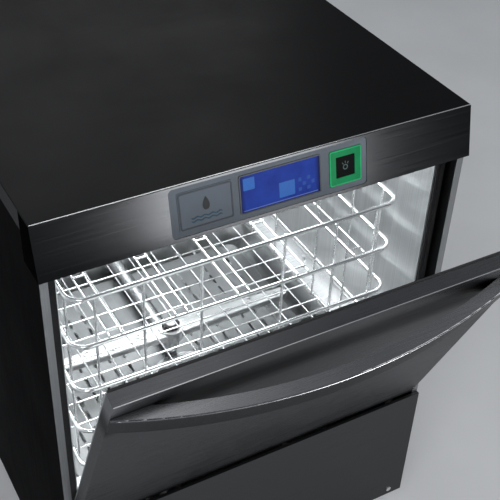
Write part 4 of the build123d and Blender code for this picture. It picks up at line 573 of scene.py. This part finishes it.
# painted highlight along the top cover's front edge
def lid_highlight_line(bm):
    half, depth, height = 0.2993, LID_FRONT + 0.0003, LID_TOP + 0.0001
    start, end = Vector((-half, depth, height)), Vector((half, depth, height))
    bar(bm, start, end, 0.0012, 0.0003, Vector((0, 1, 0)), Vector((0, 0, 1)))


# painted highlight along the door's top front edge
def door_highlight_line(bm):
    half, up, out = 285, 424.05, 12.9
    bar(bm, door_point(-half, up, out), door_point(half, up, out), 0.0011, 0.0003, door_out, door_up)


def door_strip(bm):
    """A dark soft strip along the inner edge of the door's top."""
    half, up, out = 283.5, 423.3, -7.2
    bar(bm, door_point(-half, up, out), door_point(half, up, out), 0.0032, 0.0014, door_out, door_up)


def handle_highlight_line(bm):
    """A painted highlight line on the rounded upper edge of the bow's outer face."""
    bow_half, bow_rise = 285.5, 48.5
    line_half, pieces = 280, 48
    middle_out, edge_up, edge_radius = 65.5, 391.5, 2.5
    radius = (bow_half ** 2 + bow_rise ** 2) / (2 * bow_rise)
    limit = math.asin(line_half / radius)
    # the line's cross-section: distance from the edge's centre, and angle up from straight out
    section = [(2.54, 30), (2.56, 45), (2.54, 60), (2.3, 60), (2.3, 30)]
    rings = []
    for i in range(2 * pieces + 1):
        turn = limit * (i / pieces - 1)
        x = radius * math.sin(turn)
        out = middle_out - edge_radius - radius * (1 - math.cos(turn))
        ring = []
        for distance, angle in section:
            tilt = math.radians(angle)
            point = door_point(x, edge_up + distance * math.sin(tilt), out + distance * math.cos(tilt))
            ring.append(bm.verts.new(point))
        rings.append(ring)
    for first, last in zip(rings, rings[1:]):
        for j in range(len(section)):
            k = (j + 1) % len(section)
            bm.faces.new((first[j], first[k], last[k], last[j]))
    bm.faces.new(rings[0])
    bm.faces.new(rings[-1])


# lighter steel for the painted highlight lines
def highlight_material(name, colour, rough):
    return steel(name, colour, rough, "x", 600, 0.05, 0.1).mat


lid_highlight = highlight_material("lid_edge_highlight", (0.85, 0.86, 0.87), 0.2)
door_highlight = highlight_material("door_edge_highlight", (0.60, 0.605, 0.61), 0.25)
handle_highlight = highlight_material("handle_edge_highlight", (0.24, 0.243, 0.25), 0.28)
solid("door_top_highlight", door_highlight_line, door_highlight, "door")
solid("handle_top_highlight", handle_highlight_line, handle_highlight, "door", smooth=True)
solid("lid_front_highlight", lid_highlight_line, lid_highlight, "cabinet")
solid("door_top_strip", door_strip, rubber, "door", bevel=0.0004)

# ------------------------------------------------------------------ balance springs as real coils
ANCHOR_Z = 0.104  # height of the pin on the cabinet
LEVER_LENGTH, LEVER_ANGLE = 0.038, math.radians(11.5)
LEVER_Y = HINGE_Y + LEVER_LENGTH * math.cos(LEVER_ANGLE)
LEVER_Z = HINGE_Z - LEVER_LENGTH * math.sin(LEVER_ANGLE)


def hook(height, radius=0.0042, steps=12):
    """Three quarters of a circle round a pin, as offsets across and heights."""
    turns = [math.radians(-90 + 270 * i / steps) for i in range(steps + 1)]
    return [(0, radius * math.cos(turn), height + radius * math.sin(turn)) for turn in turns]


def winding(low, high, radius=0.0052, turns=62, steps=12):
    """The wound middle of the spring, which tapers to its axis at both ends."""
    points = []
    count = turns * steps
    for i in range(count + 1):
        turn = 2 * math.pi * i / steps
        fade = min(1, i / steps, (count - i) / steps)
        height = low + (high - low) * i / count
        points.append((radius * fade * math.cos(turn), radius * fade * math.sin(turn), height))
    return points


def coil(name, x):
    """A wound tension spring with a hook round each pin, as one swept wire."""
    reach = 0.011  # from each pin to the first winding
    points = hook(ANCHOR_Z) + winding(ANCHOR_Z + reach, LEVER_Z - reach) + hook(LEVER_Z)
    curve = bpy.data.curves.new(name, "CURVE")
    curve.dimensions = "3D"
    curve.bevel_depth = 0.0011
    curve.bevel_resolution = 2
    line = curve.splines.new("POLY")
    line.points.add(len(points) - 1)
    for point, (dx, dy, z) in zip(line.points, points):
        point.co = (x + dx, LEVER_Y + dy, z, 1)
    temp = bpy.data.objects.new(name + "_curve", curve)
    bpy.context.scene.collection.objects.link(temp)
    bpy.context.view_layer.update()
    mesh = bpy.data.meshes.new_from_object(temp.evaluated_get(bpy.context.evaluated_depsgraph_get()))
    bpy.data.objects.remove(temp)
    obj = bpy.data.objects.new(name, mesh)
    bpy.context.scene.collection.objects.link(obj)
    mesh.materials.clear()
    mesh.materials.append(zinc)
    for face in mesh.polygons:
        face.use_smooth = True
    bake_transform(obj)
    return obj


for name, x in (("left_spring_coil", -0.283), ("right_spring_coil", 0.283)):
    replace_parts(coil(name, x), "door_springs")

# ------------------------------------------------------------------ stage, lights, camera


def studio_floor():
    """A pale floor with faint patches, square about the origin."""
    half = 7.0
    s = Shader("studio_floor")
    patch = s.noise(2.5, (1, 1, 1), 4)
    tone = s.mix(s.span(patch, 0.3, 0.7), (0.70, 0.71, 0.72), (0.77, 0.78, 0.79))
    s.link(tone, s.bsdf.inputs["Base Color"])
    s.bsdf.inputs["Roughness"].default_value = 0.7
    s.bump(s.noise(40), 0.05, 0.001)
    mesh = bpy.data.meshes.new("floor")
    corners = [(-half, -half, 0), (half, -half, 0), (half, half, 0), (-half, half, 0)]
    mesh.from_pydata(corners, [], [(0, 1, 2, 3)])
    mesh.materials.append(s.mat)
    floor = bpy.data.objects.new("floor", mesh)
    bpy.context.scene.collection.objects.link(floor)


def area(name, place, target, width, height, power, colour=(1, 1, 1)):
    """A rectangular lamp at a place, facing a target, in metres and watts."""
    light = bpy.data.lights.new(name, "AREA")
    light.shape = "RECTANGLE"
    light.size = width
    light.size_y = height
    light.energy = power
    light.color = colour
    obj = bpy.data.objects.new(name, light)
    bpy.context.scene.collection.objects.link(obj)
    obj.location = place
    obj.rotation_euler = (Vector(target) - Vector(place)).to_track_quat("-Z", "Y").to_euler()
    obj.visible_camera = False
    return obj


def light_only(lamp, group_name, names):
    """Lets a lamp light only the named objects."""
    group = bpy.data.collections.new(group_name)
    for name in names:
        group.objects.link(bpy.data.objects[name])
    lamp.light_linking.receiver_collection = group


studio_floor()

world = bpy.data.worlds.new("studio")
bpy.context.scene.world = world
world.use_nodes = True
sky = world.node_tree.nodes["Background"]
sky.inputs["Color"].default_value = (0.80, 0.84, 0.90, 1)
sky.inputs["Strength"].default_value = 0.28

area("key", (-1.6, -2.2, 2.6), (0, 0, 0.5), 1.8, 1.8, 45)
area("fill", (2.4, -1.2, 1.8), (0, 0, 0.5), 1.6, 1.6, 20)
area("rim", (0.6, 2.4, 2.25), (0, 0, 0.7), 2.0, 0.8, 9)
front_strip = area("front_strip", (0.60, -1.62, 0.44), (-0.02, -0.29, 0.787), 0.52, 0.8, 30)
area("overhead", (0.2, -0.62, 2.1), (0, -0.45, 0.6), 0.9, 0.3, 0.8)
area("chamber_top", (0.03, 0.02, 0.738), (0.04, 0.02, 0.3), 0.34, 0.34, 3.6, (0.98, 1.0, 1.0))

# the strip lights the controls and the painted highlight lines on the door, and not the open chamber
light_only(front_strip, "lit_by_front_strip", (
    "control_fascia", "control_panel_plate", "label_plate", "display_screen", "start_button",
    "start_button_ring", "label_frame", "label_drop", "label_waves", "display_bezel", "display_tiles",
    "display_cells", "display_base_line", "ring_bead", "start_mark", "door_top_highlight", "handle_top_highlight",
))

# the photograph's camera: where it stands, then its turn to the right, its tilt down and its roll
camera_data = bpy.data.cameras.new("camera")
camera_data.sensor_width = 36.0
camera_data.lens = 73.46
camera_data.shift_x = 0.0136
camera_data.shift_y = 0.0248
camera = bpy.data.objects.new("camera", camera_data)
bpy.context.scene.collection.objects.link(camera)
camera_place = Matrix.Translation((-0.5394, -1.1489, 1.4764))
turn_right = Matrix.Rotation(math.radians(-30.416), 4, "Z")
tilt_down = Matrix.Rotation(math.radians(90 - 38.637), 4, "X")
roll = Matrix.Rotation(math.radians(2.490), 4, "Z")
camera.matrix_world = camera_place @ turn_right @ tilt_down @ roll
bpy.context.scene.camera = camera

bpy.context.scene.view_settings.view_transform = "Standard"
